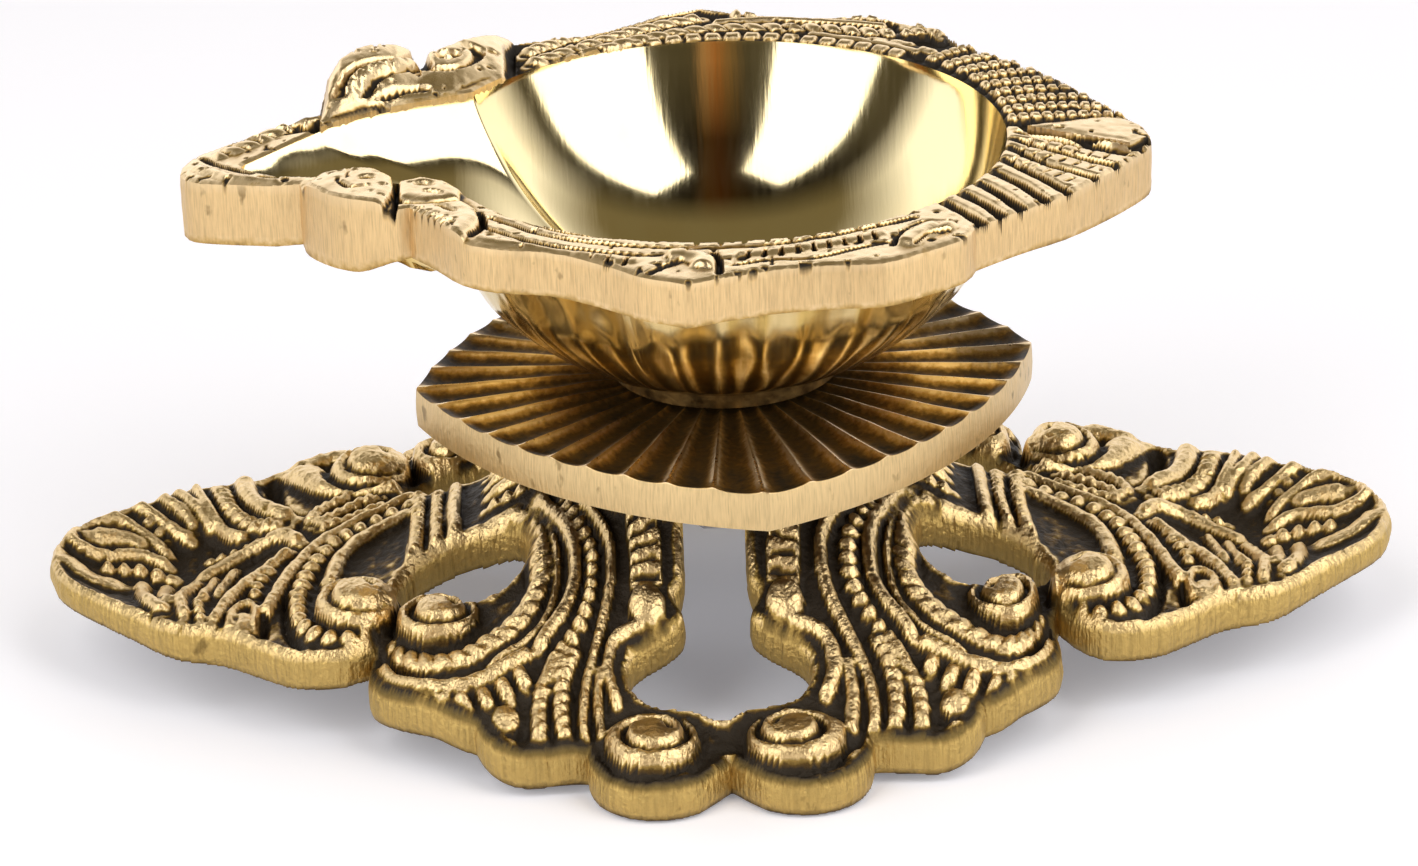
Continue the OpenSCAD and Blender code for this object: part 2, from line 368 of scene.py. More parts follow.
wing_half = curve(WING, 3)
wing_plan = np.vstack([wing_half, wing_half[::-1] * (1, -1)])
lobe_half = np.vstack([[(0, 39)], arc(7.2, 37.2, 6.8, 125, 0), arc(20, 32, 5.6, 100, 20, 6),
                       curve(LOBE_SIDE, 3), [(20, 4), (0, 4)]])
lobe_plan = np.vstack([lobe_half, lobe_half[::-1] * (-1, 1)])
keyhole_half = np.vstack([[(0, 15.5)], curve(KEYHOLE, 3), [(0, 34.6)]])
keyhole_plan = np.vstack([keyhole_half, keyhole_half[::-1] * (-1, 1)])
gap_plan = curve(SCROLL_GAP, 3)
print("outline points:", len(wing_plan), len(lobe_plan), len(keyhole_plan), len(gap_plan))

# %% [markdown]
# The strokes follow the casting from the hub outwards: a beaded curl round each wing boss, a palmette of
# petals in the dish, then on each lobe a rope round the gap, two smooth ridges, rows of beads and
# the ladder beside the keyhole.

# %% Strokes of the base
CURL = [
    ("beads", 1.15, 0.85, 1.9, [(31, 5.5), (36, 3), (40, 0), (42.4, -5), (43.5, -11), (43, -17), (41, -20.6),
                               (38, -22), (35, -20.8)]),
    ("rib", 0.8, 0.8, 0, [(29, 8.5), (33, 7), (38, 4), (42, 0), (44.7, -6), (46, -12), (46.8, -15.5)]),
    ("groove", 0.55, 1.2, 0, [(46.8, -15), (46.7, -20)]),
    ("groove", 0.5, 0.9, 0, [(44.7, -12), (44.2, -18), (42.3, -23.4)]),
    ("rib", 1.0, 0.8, 0, [(44, 1), (46, 3), (49, 3), (52, 1.5), (55, -1)]),
    ("rib", 0.8, 0.7, 0, [(45, -1), (48, -5), (50.5, -11), (52, -16.6)]),
    ("beads", 0.8, 0.5, 1.7, [(46.4, -3.6), (48, -8), (48, -11.4)]),
    ("rib", 0.55, 0.6, 0, [(50.2, -18), (50, -14.6), (48.6, -12.8), (47.6, -14.4), (47.6, -18)]),
    ("rib", 0.9, 0.4, 0, [(48.8, -18.5), (48.8, -15)]),
]
PETALS = [
    ("rib", 0.9, 0.7, 0, [(60.4, -2.4), (60, -7), (58.8, -11.5), (57, -14)]),
    ("rib", 0.85, 0.7, 0, [(58, -2.6), (57.8, -8), (56.6, -12.6)]),
    ("rib", 0.75, 0.8, 0, [(54.6, -2), (55.9, -6), (55.8, -11), (55, -15.4)]),
    ("rib", 0.7, 0.6, 0, [(53, -1.5), (53.7, -7), (53.4, -11)]),
    ("rib", 0.7, 0.6, 0, [(51, -0.6), (52, -5), (51.8, -10)]),
    ("beads", 0.75, 0.7, 1.7, [(54, -10.6), (53.8, -13), (53.2, -16)]),
    ("rib", 0.75, 0.8, 0, [(58, 2.4), (61, 4), (65, 2.6), (68, 3.4), (68, 7.2), (64, 8.6), (60, 6.4),
                           (58.2, 4.4)]),
    ("rib", 1.1, 0.8, 0, [(60.4, 5.1), (63, 6.2), (66.4, 5.3)]),
    ("beads", 0.95, 0.8, 1.7, [(57.6, 0.2), (61, 1), (65, 0.2)]),
    ("groove", 0.45, 0.8, 0, [(56, -1.2), (61, -1), (64.4, -2.6)]),
    ("rib", 1.3, 0.3, 0, [(62, -3.4), (66, -2.6), (69, 0)]),
    ("beads", 0.75, 0.7, 1.6, [(58.4, 6.6), (60, 8.2), (61.6, 9.8)]),
    ("rib", 0.8, 0.8, 0, [(56, 6.8), (59, 9), (62.8, 12)]),
    ("rib", 0.8, 0.8, 0, [(55.6, 8), (57, 10.4), (60, 14)]),
    ("rib", 0.8, 0.9, 0, [(53.6, 7.6), (55.4, 10.6), (58.2, 15)]),
    ("rib", 0.7, 0.9, 0, [(50, 5.4), (52, 6.6), (53.8, 9.6), (56, 15.6)]),
    ("rope", 1.15, 0.8, 1.25, [(46, 6), (49, 6.8), (51.6, 9.6), (53.4, 16)]),
    ("rib", 1.25, 1.2, 0, [(45, 7.4), (48, 9.5), (50, 13), (51, 17.6)]),
    ("rib", 2.0, 1.2, 0, [(31, 12.4), (37, 13), (42, 15), (45.4, 20)]),
    ("rib", 1.5, 1.0, 0, [(38, 21.8), (42.5, 22), (46, 19.6)]),
    ("groove", 1.0, 1.5, 0, [(44.4, 8.6), (46.8, 12), (47.8, 18)]),
    ("rope", 0.8, 0.7, 1.3, [(43.5, 5.5), (42.5, 9), (39, 11.4)]),
    ("rope", 0.8, 0.8, 1.3, [(43, 5), (40, 7.6), (36, 9.8)]),
    ("rope", 0.7, 0.6, 1.3, [(42.5, 4.4), (39, 5.8), (35, 7.6)]),
    ("beads", 0.6, 0.4, 1.3, [(54, 3.4), (51, 3.9), (48, 4.4)]),
]
ARM = [
    ("rope", 0.9, 0.9, 1.2, [(31.8, 8.4), (31.4, 0), (31.8, -8.4)]),
    ("rope", 0.8, 0.8, 1.2, [(29.6, 8), (29.4, 0), (29.6, -8)]),
    ("rib", 0.8, 0.7, 0, [(27.6, 8), (27.6, 0), (27.6, -8)]),
    ("rib", 0.7, 0.7, 0, [(15, 1.6), (24, 1.2)]),
    ("rib", 0.7, 0.7, 0, [(15, -1.6), (24, -1.2)]),
    ("beads", 0.7, 0.6, 1.4, [(15, 4.2), (24.4, 3.6)]),
    ("beads", 0.7, 0.6, 1.4, [(15, -4.2), (24.4, -3.6)]),
    ("rib", 1.0, 0.6, 0, [(32, 3.2), (36.5, 0.5), (39.6, -4), (40.6, -10)]),
]
LOBE = [
    ("rope", 1.15, 0.9, 1.75, [(25, 1.5), (22.6, 5), (20.6, 8), (19.2, 11), (18.6, 15), (18.5, 18),
                              (19.5, 20.8), (21.2, 23), (23.6, 24.9), (26, 26.2), (28.4, 26.4),
                              (30.8, 25.4), (32.8, 23.4),
                              (33.6, 20.6)]),
    ("rib", 0.45, 0.3, 0, [(23, 1), (20, 6), (17.6, 11), (16.8, 16), (16.9, 20), (18, 23.2), (20.4, 25.8),
                           (23.6, 27.8)]),
    ("rib", 0.75, 0.8, 0, [(20.5, 3), (17.6, 8.5), (15.6, 13), (14.9, 17), (15, 20), (16.2, 23), (17.8, 25.2),
                           (18.8, 27)]),
    ("beads", 0.85, 0.8, 1.6, [(16.5, 8), (14.6, 12.5), (13.2, 16), (13, 20), (13.7, 23.2), (15, 25.6),
                              (16.8, 28), (18, 30.5), (18.7, 33)]),
    ("rope", 0.9, 0.8, 1.35, [(16.4, 27.4), (18, 30.5), (18.8, 33), (18.9, 36), (18.3, 39.4)]),
    ("rope", 0.9, 0.9, 1.25, [(15, 27), (16.2, 30), (16.6, 33), (16.3, 36), (15.3, 38.6), (13.8, 41.4)]),
    ("rib", 0.6, 0.7, 0, [(14.5, 10), (12, 13.6), (10.7, 17), (10.8, 21), (12, 25), (13, 28), (13.9, 31),
                         (14.3, 35), (13.6, 38.5), (12, 41)]),
    ("ladder", 1.7, 0.7, 1.45, [(7.6, 12), (7, 17.5), (6.8, 22)]),
    ("rib", 0.7, 0.9, 0, [(4.6, 25), (8.4, 25.5), (10.8, 27), (11.3, 30), (10.4, 33)]),
    ("rib", 0.6, 0.6, 0, [(12.3, 29), (12.6, 33), (12.2, 37)]),
    ("rib", 0.8, 0.8, 0, [(28.8, 31), (27.7, 33.6)]),
    ("rib", 0.8, 0.8, 0, [(26.9, 31.4), (25.7, 34)]),
    ("rib", 0.8, 0.8, 0, [(24.7, 30.8), (23.7, 33.2)]),
    ("rib", 0.8, 0.8, 0, [(22.7, 30), (21.7, 32.2)]),
    ("rib", 0.8, 0.8, 0, [(20.9, 28.9), (19.9, 31)]),
    ("rib", 0.7, 0.9, 0, [(34.6, 25), (33, 28), (30, 29.9), (27, 30.6), (24, 29.8), (21, 28.2),
                          (19.4, 27.2)]),
    ("groove", 0.5, 0.8, 0, [(34.4, 22.5), (33.4, 25), (31, 27.6), (28, 28.8), (25, 28.9), (22, 27.5)]),
    ("rope", 0.75, 0.7, 1.3, [(35.4, 26.2), (33.6, 28.4), (31, 30.4), (28.8, 31.8)]),
    ("groove", 0.5, 1.0, 0, [(27, 35.4), (23, 35.4), (20.2, 35)]),
    ("rib", 0.8, 0.5, 0, [(13.2, 41.4), (10, 43.6), (6.5, 43.9), (3, 42.4)]),
]
print("strokes:", len(CURL + PETALS + ARM), "on a wing,", len(LOBE), "on a quarter lobe")

# %% [markdown]
# The top drops away from the hub along both arms, and the wings are hollowed by a shallow bowl. The scroll
# bosses are domes with a spiral ridge left standing on them. Light pitting everywhere comes from the sand.

# %% Heights of the plain base
HUB_R, HUB_Z, BASE_T, STUD_X = 15.0, 25.2, 4.8, 1.1
WING_TOP = np.array([(0, HUB_Z), (HUB_R, HUB_Z), (17, 21.6), (20, 19), (25, 15.9), (30, 13.6), (36, 11.8),
                     (42, 10.8), (50, 10.3), (60, 10.6), (66, 11.3), (72, 12.2)])
LOBE_TOP = np.array([(0, HUB_Z), (HUB_R, HUB_Z), (17, 19.6), (20, 17.2), (25, 14.6), (31, 12), (37, 10),
                     (44, 8.2), (56, 6)])
LOBE_FALL = np.array([(0, 40), (15, 21.4), (18, 18), (22, 14.4), (26, 11.8), (30, 9.4), (35, 6.6), (38, 4.9),
                      (44, 4.4), (50, 4.2)])
DISH_X, DISH_R, DISH_Z = 57, 22, 29.5


def plain_base(x, y, u, v, wing, lobe, step):
    """The casting's top without ornament, and how much of each place belongs to the wing."""
    r = np.hypot(x, y)
    wing_z = np.interp(r, *WING_TOP.T)
    hollow = DISH_R ** 2 - (u - DISH_X) ** 2 - y ** 2
    dished = np.minimum(wing_z, DISH_Z - np.sqrt(np.clip(hollow, 0, None)))
    wing_z = np.where(hollow > 0, dished, wing_z)
    lobe_z = np.minimum(np.interp(r, *LOBE_TOP.T), np.interp(v, *LOBE_FALL.T))
    wing_share = np.clip(wing + 0.6, 0.001, 1.5)
    lobe_share = np.clip(lobe + 0.6, 0.001, 1.5) * ease(1.2, -0.6, wing)
    on_wing = wing_share / (wing_share + lobe_share)
    return soften(lobe_z * (1 - on_wing) + wing_z * on_wing, 0.5 / step), on_wing


# %% Ornament of the base
GROUND = -0.7
WING_BOSSES = ((37.2, -16.8, 14.4, 4.5), (37.2, 16.8, 14.0, 4.5))
LOBE_BOSSES = ((28.9, 19.8, 13.4, 4.6), (7.1, 37.7, 7.9, 5.2))


def ornament(u, s, v, lobe_u, lobe_k, on_wing):
    """Height of the carving over the plain casting."""
    wing = carve(np.full(u.shape, GROUND), u, s, ARM + CURL + PETALS, GROUND, 1.05)
    lobe = carve(np.full(u.shape, GROUND), lobe_k, v, LOBE, GROUND, 1.08)
    lobe = dome(lobe, lobe_k, v, 6.9, 23.4, 2.1, 1.7, 0.9)
    lobe = dome(lobe, lobe_u, v, 22.4, 33.9, 1.7, 0.5, 0.8)
    lobe = dome(lobe, lobe_u, v, 23, 37.6, 2.4, 0.7, 0.7)
    return lobe * (1 - on_wing) + wing * on_wing


def bosses(top, u, s, v, lobe_k):
    """The scroll bosses, each a dome with a spiral groove."""
    level = np.zeros(u.shape)
    for cx, cy, z, r0 in WING_BOSSES:
        d = np.hypot(u - cx, s - cy)
        top = np.where(d < r0 + 0.7, np.minimum(top, z - 3.0), top)
        top = dome(top, u, s, cx, cy, r0, z, 0.8)
        swirl = [("groove", 0.45, 0.9, 0, spiral(cx, cy, 3.5, 1.6, 200, 330, 20))]
        top += carve(level.copy(), u, s, swirl, 0) * (d < r0)
    for cx, cy, z, r0 in LOBE_BOSSES:
        boss = dome(np.full(u.shape, -9.0), lobe_k, v, cx, cy, r0, z, 0.5)
        swirl = [("groove", 0.5, 1.3, 0, spiral(cx, cy, r0 * 0.76, 1.9, 250, -430, 26))]
        top = np.maximum(top, boss + carve(level.copy(), lobe_k, v, swirl, 0))
    return top


# %% [markdown]
# Everything comes together on one grid. On the right the lobes' side corners are pulled in and the
# keyhole stands a little off the middle, as the pattern has them. The top round the stud is
# turned flat, and grain and pits are added last, so that they cover the ornament too.

# %% Shape the base
NUDGE, PULL, KEYHOLE_SHIFT = 0.22, 2.4, 0.8


def base_field(step):
    gx, gy = np.arange(-71.4, 71.4, step), np.arange(-45.6, 45.6, step)
    x, y = np.meshgrid(gx, gy, indexing="ij")
    u = np.abs(x) + NUDGE * noise(x, y, 7, 1)
    s = y + NUDGE * noise(x, y, 7, 2)
    v = np.abs(s)
    lobe_u = u + PULL * ease(26, 35, u) * ease(12, 22, v) * (x > 0) * (v < 33)
    lobe_k = lobe_u + np.sign(x) * KEYHOLE_SHIFT * ease(15, 9, u)
    wing = inside(wing_plan, u, s)
    lobe = np.where(v > 3.5, inside(lobe_plan, lobe_u, v), -1)
    room = np.maximum(np.maximum(wing, lobe), HUB_R - np.hypot(x, y))
    holes = np.maximum(inside(keyhole_plan, x + KEYHOLE_SHIFT, v), inside(gap_plan, lobe_u, v))
    room = np.minimum(room, -holes)
    plain, on_wing = plain_base(x, y, u, v, wing, lobe, step)
    relief = ornament(u, s, v, lobe_u, lobe_k, on_wing)
    flush = ease(1.5, 0.2, room)
    relief = relief * (1 - flush) + 0.05 * flush
    top = soften(bosses(plain + relief, u, s, v, lobe_k), 0.16 / step)
    grain = 0.10 * noise(x, y, 0.9, 5) + 0.07 * noise(x, y, 0.5, 6) + 0.10 * noise(x, y, 2.2, 7)
    pits = ease(0.62, 0.85, noise(x, y, 0.8, 8)) * ease(0.0, 0.5, noise(x, y, 6, 9))
    top += grain - 0.25 * pits
    thick = BASE_T - 0.9 * ease(50, 66, u)
    under = np.clip(plain - thick, 0, None)
    under = np.where(np.hypot(x, y) < 17, np.maximum(under, 19.3), under)
    top = np.where(np.hypot(x, y) < 14.6, HUB_Z - 0.05, top)
    room = np.minimum(room, np.hypot(x - STUD_X, y) - 3.15)
    top = np.maximum(top, under + 1.2)
    stain = weathered(top, step, np.clip(-0.15 - (top - plain), -0.3, 0.6) * 0.6)
    stain += 0.12 * noise(x, y, 3.1, 11) + 0.25 * pits
    return x, y, room, top, under, np.clip(stain, 0, 1)


base_step = 0.27
base_parts = sheet(*base_field(base_step), rows=6, bulge=0.25, soft=(1.3, 0.9))
base_casting = make_object("base_casting", *base_parts, "stand", "base_brass", ["base"])

# %% [markdown]
# ## The rim
# The rim is cast in one with the cup but carved on its own: a pair of birds on each side of the spout,
# beaded borders along the opening, a leaf at each shoulder and a shell of long flutes opposite the
# spout. Both tips droop a little from the level of the opening.

# %% Plan of the rim
EDGE = [[(-54.7, 1.2), (-53.4, 3.6), (-49.6, 6), (-44.6, 8.4)],
        [(-41.8, 8.8), (-40.8, 12.4), (-37.8, 16.4), (-34, 18.9), (-31, 20.2)],
        [(-30, 19.8), (-27.5, 23), (-24.6, 27.2), (-21, 29.4), (-16, 30.4), (-11, 33.6), (-7, 37)],
        [(-2.6, 39.2), (0.5, 37.8)],
        [(5, 36.2), (10.5, 35.2), (16, 34.9), (20, 32.4), (23.4, 29.8), (24.6, 27.8)],
        [(25, 26.4), (29, 22.4), (34, 17.4), (38.8, 10.4), (42.8, 3.6), (43.6, 1)]]
RIM_Z, RIM_T, YAW = 54.9, 4.8, -2.0
OPENING, CHANNEL_Z = 29.1, 45.4


def to_rim(x, y):
    """Points of the lamp turned into the rim's own axes, which the bowl was clamped a little askew to."""
    c, s = math.cos(math.radians(YAW)), math.sin(math.radians(YAW))
    return (x - STUD_X) * c + y * s, -(x - STUD_X) * s + y * c


rim_half = np.vstack([curve(part, 3) for part in EDGE])
rim_plan = np.vstack([rim_half * (1, -1), rim_half[::-1]])
far_side = [(-48.4, -1.2), (-45.8, 1.2), (-43.2, 3.8), (-40.6, 6.2), (-38, 7.9), (-25.8, 13.6)]
near_side = [(-48.4, -1.8), (-46.4, -4.4), (-43.5, -6.6), (-40.5, -7.6), (-36, -9.2), (-25.8, -13.6)]
channel_plan = np.vstack([far_side, near_side[::-1]])


def mouth_radius(angle):
    """How far the opening reaches from the centre of the cup in each direction, spout and all."""
    far = np.full(angle.shape, OPENING)
    for i, a in enumerate(angle):
        d = np.array([math.cos(a), math.sin(a)])
        for p, q in zip(channel_plan, np.roll(channel_plan, -1, 0)):
            e = q - p
            cross = d[0] * e[1] - d[1] * e[0]
            if abs(cross) < 1e-9:
                continue
            t = (p[0] * e[1] - p[1] * e[0]) / cross
            k = (p[0] * d[1] - p[1] * d[0]) / cross
            if t > 0 and 0 <= k <= 1:
                far[i] = max(far[i], t)
    return far


mouth_angle = np.radians(np.arange(0, 360, 1.0))
mouth = mouth_radius(mouth_angle)
mouth_plan = np.stack([mouth * np.cos(mouth_angle), mouth * np.sin(mouth_angle)], 1)
print("rim outline:", len(rim_plan), "points; spout reaches", round(float(mouth.max()), 1), "mm")


def droop(x):
    """How far the rim has sunk towards its two tips."""
    return 2.4 * np.clip((-x - 33) / 21, 0, 1.1) ** 1.4 + 1.3 * np.clip((x - 25) / 18, 0, 1.1) ** 1.5


# %% Strokes of the rim
FRONT = [
    ("groove", 0.42, 1.2, 0, [(-21.6, -20.8), (-16, -26), (-10, -28.9), (-5, -30), (0, -30.6), (5, -30.4),
                              (10, -29), (15, -26.9), (19.6, -24.6)]),
    ("groove", 0.4, 1.1, 0, [(-22.6, -23), (-17, -27.8), (-11.5, -30.6), (-7, -31.8), (-5, -31.9)]),
    ("groove", 0.18, 0.5, 0, [(-21, -19.4), (-15.4, -24.8), (-9.4, -27.6)]),
    ("rib", 1.3, 0.4, 0, [(-23.4, -25.4), (-17, -29.4), (-11.5, -32), (-6.6, -33.6)]),
    ("rib", 1.2, 0.4, 0, [(1.4, -32.7), (7, -31.8), (13, -29.8), (17, -28)]),
    ("groove", 0.3, 0.8, 0, [(1.6, -35.3), (5, -34.3), (9.4, -34), (13.6, -32.2), (16.6, -30.8)]),
    ("rib", 1.5, 0.9, 0, [(-5.2, -32.6), (-2.6, -32.8), (-1.2, -34.4), (-1.4, -36.6)]),
    ("groove", 0.35, 1.1, 0, [(-0.2, -31.4), (0.4, -34), (0.3, -37.4)]),
    ("groove", 0.45, 1.0, 0, [(-6.4, -36.6), (-5.2, -35.2), (-3.6, -34.2)]),
    ("groove", 0.25, 0.7, 0, [(-2.5, -32.7), (-2.1, -32.6)]),
    ("rib", 1.7, 0.8, 0, [(17.6, -32.4), (19.4, -29.4), (21.6, -27.6), (23.6, -28.4)]),
    ("groove", 0.4, 1.0, 0, [(17, -31.6), (18, -28.8), (20, -26), (22.6, -25.8)]),
    ("groove", 0.2, 0.5, 0, [(19, -32), (20.4, -29.6), (22.6, -28.6)]),
]
FRONT += ticks([(-20.4, -28.2), (-15.5, -30.8), (-11, -32.6), (-6.6, -33.8)], 1.5, 0.75)
FRONT += ticks([(-4, -28.9), (0, -29.3), (6, -29), (12, -27.3), (18, -24.8)], 2.0, 0.5)
FRONT += ticks([(1.6, -33), (7, -32.2), (13, -30.2), (16.8, -28.5)], 1.45, 0.8, lean=0.3)
SHELL = [((22.6, -20.6), (24.4, -23.4), (26, -26.6)), ((24.6, -18.4), (26.6, -21.6), (28.2, -25)),
         ((26.4, -15.8), (28.4, -19.2), (30, -22.8)), ((28, -12.8), (30.4, -16.2), (32.4, -20)),
         ((29.3, -9.2), (32, -13.4), (35, -17.8)), ((30.2, -6), (33.6, -10.2), (38, -13.6)),
         ((31, -3.6), (35.4, -7), (40.4, -10)), ((31.6, -1.4), (36.8, -4.4), (41.8, -6.4))]
FRONT += [("groove", 0.78, 1.9, 0, list(line)) for line in SHELL]
FRONT += [("groove", 0.9, 1.8, 0, [(32.4, 0), (36, -1.8), (40, -4.4), (42.8, -4.8)]),
          ("groove", 0.5, 1.2, 0, [(42.6, -4.6), (43.8, -3), (44.8, -1)])]
for near, far in zip(SHELL[4:], SHELL[5:]):
    middle = [tuple((np.array(p) + q) / 2) for p, q in zip(near, far)]
    FRONT += ticks(middle, 1.3, 0.6, 0.2, 0.6)
BACK = [
    ("rope", 1.2, 0.7, 1.5, [(-19, 26), (-15, 29.6), (-11, 33.2), (-7, 36.6), (-3, 39), (0, 40), (2, 38.6)]),
    ("rope", 1.15, 0.6, 1.9, [(-18.4, 23), (-13, 27.6), (-8, 31.6), (-4, 34), (0, 36.2)]),
    ("rope", 1.1, 0.5, 2.1, [(-18.4, 19.6), (-15, 23.4), (-10, 27.6), (-5, 30.6), (0, 32.2), (6, 32.2),
                             (12, 31.4), (17, 29.8), (21, 28.4)]),
    ("ticked", 1.3, 0.7, 1.7, [(2.8, 36.4), (8, 36.6), (14, 35.2), (20, 33.6), (24.8, 32.4), (26.8, 29.6)]),
    ("rib", 0.7, 0.3, 0, [(1, 34.6), (8, 34.8), (14, 33.4), (20, 31.4)]),
    ("rib", 1.3, 0.7, 0, [(22, 31.2), (25, 30.6), (26.4, 28.4)]),
    ("rope", 0.9, 0.5, 1.4, [(21, 29), (24.4, 28.8), (25.4, 27.6)]),
    ("rib", 0.9, 0.2, 0, [(22.6, 24.6), (24.6, 22.6)]),
    ("ticked", 0.9, 0.25, 2.1, [(STUD_X + 30.2 * math.cos(a), 30.2 * math.sin(a))
                                for a in np.radians(np.arange(112, 40, -8.0))]),
    ("rib", 0.8, 0.1, 0, [(11, 30.4), (16, 28), (20, 25.6), (23, 23)]),
    ("rib", 0.9, 0.1, 0, [(17, 27.8), (20.6, 26.4), (22.6, 25.4)]),
    ("rib", 0.8, 0.1, 0, [(3, 38.4), (6, 38.2), (10, 37.6)]),
]
for k in range(9):
    f = k / 8
    a = math.radians(43 - 37.5 * f)
    inner = (STUD_X + 29.4 * math.cos(a) + 0.8 * (1 - f), 29.4 * math.sin(a) + 0.6 * (1 - f))
    outer = (29.3 + 13.6 * f ** 0.86, 24.6 - 19.4 * f)
    middle = ((inner[0] + outer[0]) / 2, (inner[1] + outer[1]) / 2 + 0.3)
    BACK.append(("ticked", 0.74, 0.3, 1.1 + 0.09 * (k % 3), [inner, middle, outer]))
SPOUT = [
    ("rope", 1.6, 0.7, 1.7, [(-51, 3.4), (-48.4, 4.4), (-45.4, 7), (-43, 9.8)]),
    ("rib", 1.1, 0.5, 0, [(-52.4, 2), (-50, -1), (-47, -4.4), (-43, -7)]),
    ("groove", 0.3, 0.9, 0, [(-51.6, 4), (-50, 1.6), (-48, -0.8), (-46, -3)]),
    ("groove", 0.3, 0.7, 0, [(-45.2, -4.2), (-43.6, -5.4)]),
    ("groove", 0.35, 0.9, 0, [(-42.6, -5.8), (-42.2, -8)]),
]

# %% [markdown]
# The near pair of birds are flat cushions with a drilled eye and a curved cut for the beak. The far pair
# stand on a slope that climbs to the rim's far edge, so their curled necks and ribbed crests face the
# user: their cuts are drawn on that slope, as seen square on, and then pressed into it.

# %% The birds
NEAR_BIRDS = [(1.3, [(-40.2, -10.5), (-38.8, -8.2), (-36, -7.3), (-33.2, -8.3), (-31.5, -10.8), (-31.2, -14),
                     (-32.4, -20), (-37, -20), (-42, -13)]),
              (1.0, [(-31, -11.6), (-28.5, -10.6), (-26, -12), (-24.6, -14.4), (-24.6, -16.6), (-28, -17.8),
                     (-30.9, -16)]),
              (0.9, [(-31, -17.4), (-27, -17.5), (-24.4, -17), (-22.8, -19.5), (-22.5, -22), (-24, -26.5),
                     (-28, -29), (-32.5, -22)])]
NEAR_CUTS = [("groove", 0.6, 1.0, 0, [(-34.3, -11.3), (-33.7, -11.5)]),
             ("groove", 0.35, 1.0, 0, [(-36.6, -12), (-35.6, -13.5), (-33.8, -13.7)]),
             ("groove", 0.75, 1.0, 0, [(-28.6, -12.8), (-27.9, -13.1)]),
             ("groove", 0.35, 0.9, 0, [(-28, -15.1), (-26.6, -15.7)]),
             ("groove", 0.3, 1.3, 0, [(-31.3, -8.6), (-31.1, -12), (-30.9, -16), (-31, -19)]),
             ("groove", 0.4, 1.0, 0, [(-26.8, -18.4), (-25.2, -20.4)]),
             ("groove", 0.4, 1.2, 0, [(-22.7, -19.6), (-22.3, -23), (-23.4, -25.4)])]
NEAR_CUTS += ticks([(-29.8, -18.6), (-28, -20.6), (-26, -22.6), (-24.6, -23.6)], 1.0, 0.7, 0.22, 0.6, 0.4)
FAR_CUTS = [("groove", 0.8, 1.3, 0, [(-37.8, 16.5), (-36.8, 22), (-34.8, 25.2), (-31.6, 25.6), (-30, 27)]),
            ("rope", 1.1, 0.45, 1.1, [(-36, 18), (-35, 21.8), (-32.8, 23.8), (-30.2, 24)]),
            ("groove", 0.6, 0.9, 0, [(-35, 15.5), (-34.2, 19.4), (-32.4, 21.6), (-30, 22.4)]),
            ("groove", 0.7, 1.0, 0, [(-30, 23), (-28.2, 22.4), (-25.8, 22.8), (-24.1, 24.6), (-23.6, 27.4),
                                     (-24.8, 29.8)]),
            ("groove", 0.55, 0.9, 0, spiral(-26.7, 26.6, 0.9, 0.8, 0, 350)),
            ("groove", 0.9, 1.4, 0, [(-29.2, 30), (-29.7, 26.8), (-28.9, 23.4)]),
            ("groove", 0.8, 1.4, 0, [(-20.3, 29), (-20.1, 25), (-20.2, 20), (-21, 15)]),
            ("groove", 1.0, 1.3, 0, [(-33, 14.6), (-31.4, 16.4), (-29.2, 16.8)]),
            ("groove", 0.5, 0.8, 0, [(-34, 12.4), (-31.6, 11.4), (-28.6, 10.8)])]
FAR_CUTS += ticks([(-37.6, 27), (-36, 29.4), (-34, 29.8), (-32, 28.6)], 1.5, 0.7, 0.25, 0.4)


def birds(top, x, y):
    """Raise both pairs of birds over the rim and cut them."""
    for height, plan in NEAR_BIRDS:
        d = inside(np.array(plan), x, y)
        turned = 1 - np.sqrt(1 - np.clip(1 - d / 1.3, 0, 1) ** 2)
        top = np.where(d > 0, np.maximum(top, RIM_Z + height - 0.8 * turned), top)
    top = carve(top, x, y, NEAR_CUTS, 0)
    start = np.interp(x, [-40, -38, -34, -30, -26, -22, -19], [8.2, 9, 10.6, 12.4, 14, 18.6, 21.6])
    end = np.interp(x, [-40, -38, -34, -31, -28, -25, -22, -19], [14.5, 16, 19, 20.4, 21.8, 23.2, 25.4, 27.4])
    crest = np.interp(x, [-39.6, -38.8, -37.6, -36, -34, -32, -30.4, -29.6, -28, -25, -22, -20.6, -20],
                      [0.4, 3.2, 4.5, 4.8, 4.6, 3.9, 2.8, 2.3, 2.9, 2.7, 1.7, 0.8, 0.2])
    climb = np.clip((y - start) / (end - start), 0, 1)
    rise = 0.5 + (crest - 0.5) * np.sin(math.pi / 2 * climb ** 0.85)
    carved = carve(np.zeros(x.shape), x, y + 2.5 * rise, FAR_CUTS, 0)
    here = (x > -39.6) & (x < -19.9) & (y > 0)
    return np.where(here, RIM_Z + rise + carved, top)


# %% Ornament of the rim
RIM_FLOOR = -0.8
LEAF = [(-43.2, 9.4), (-42.6, 13.6), (-39.8, 14.6), (-37.6, 11.6), (-38.4, 9.4), (-41.2, 8.4)]
LEAF_CUTS = [("groove", 0.3, 0.8, 0, [(-42.6, 11), (-40, 10.6), (-38, 10)]),
             ("groove", 0.3, 0.8, 0, [(-42.4, 12.4), (-40, 12.2), (-38.4, 11)])]
FACET = [(32.2, 0.4), (41.8, 4.4), (44.8, 1.6), (44.6, -1), (42.4, -3.4), (38, -2)]


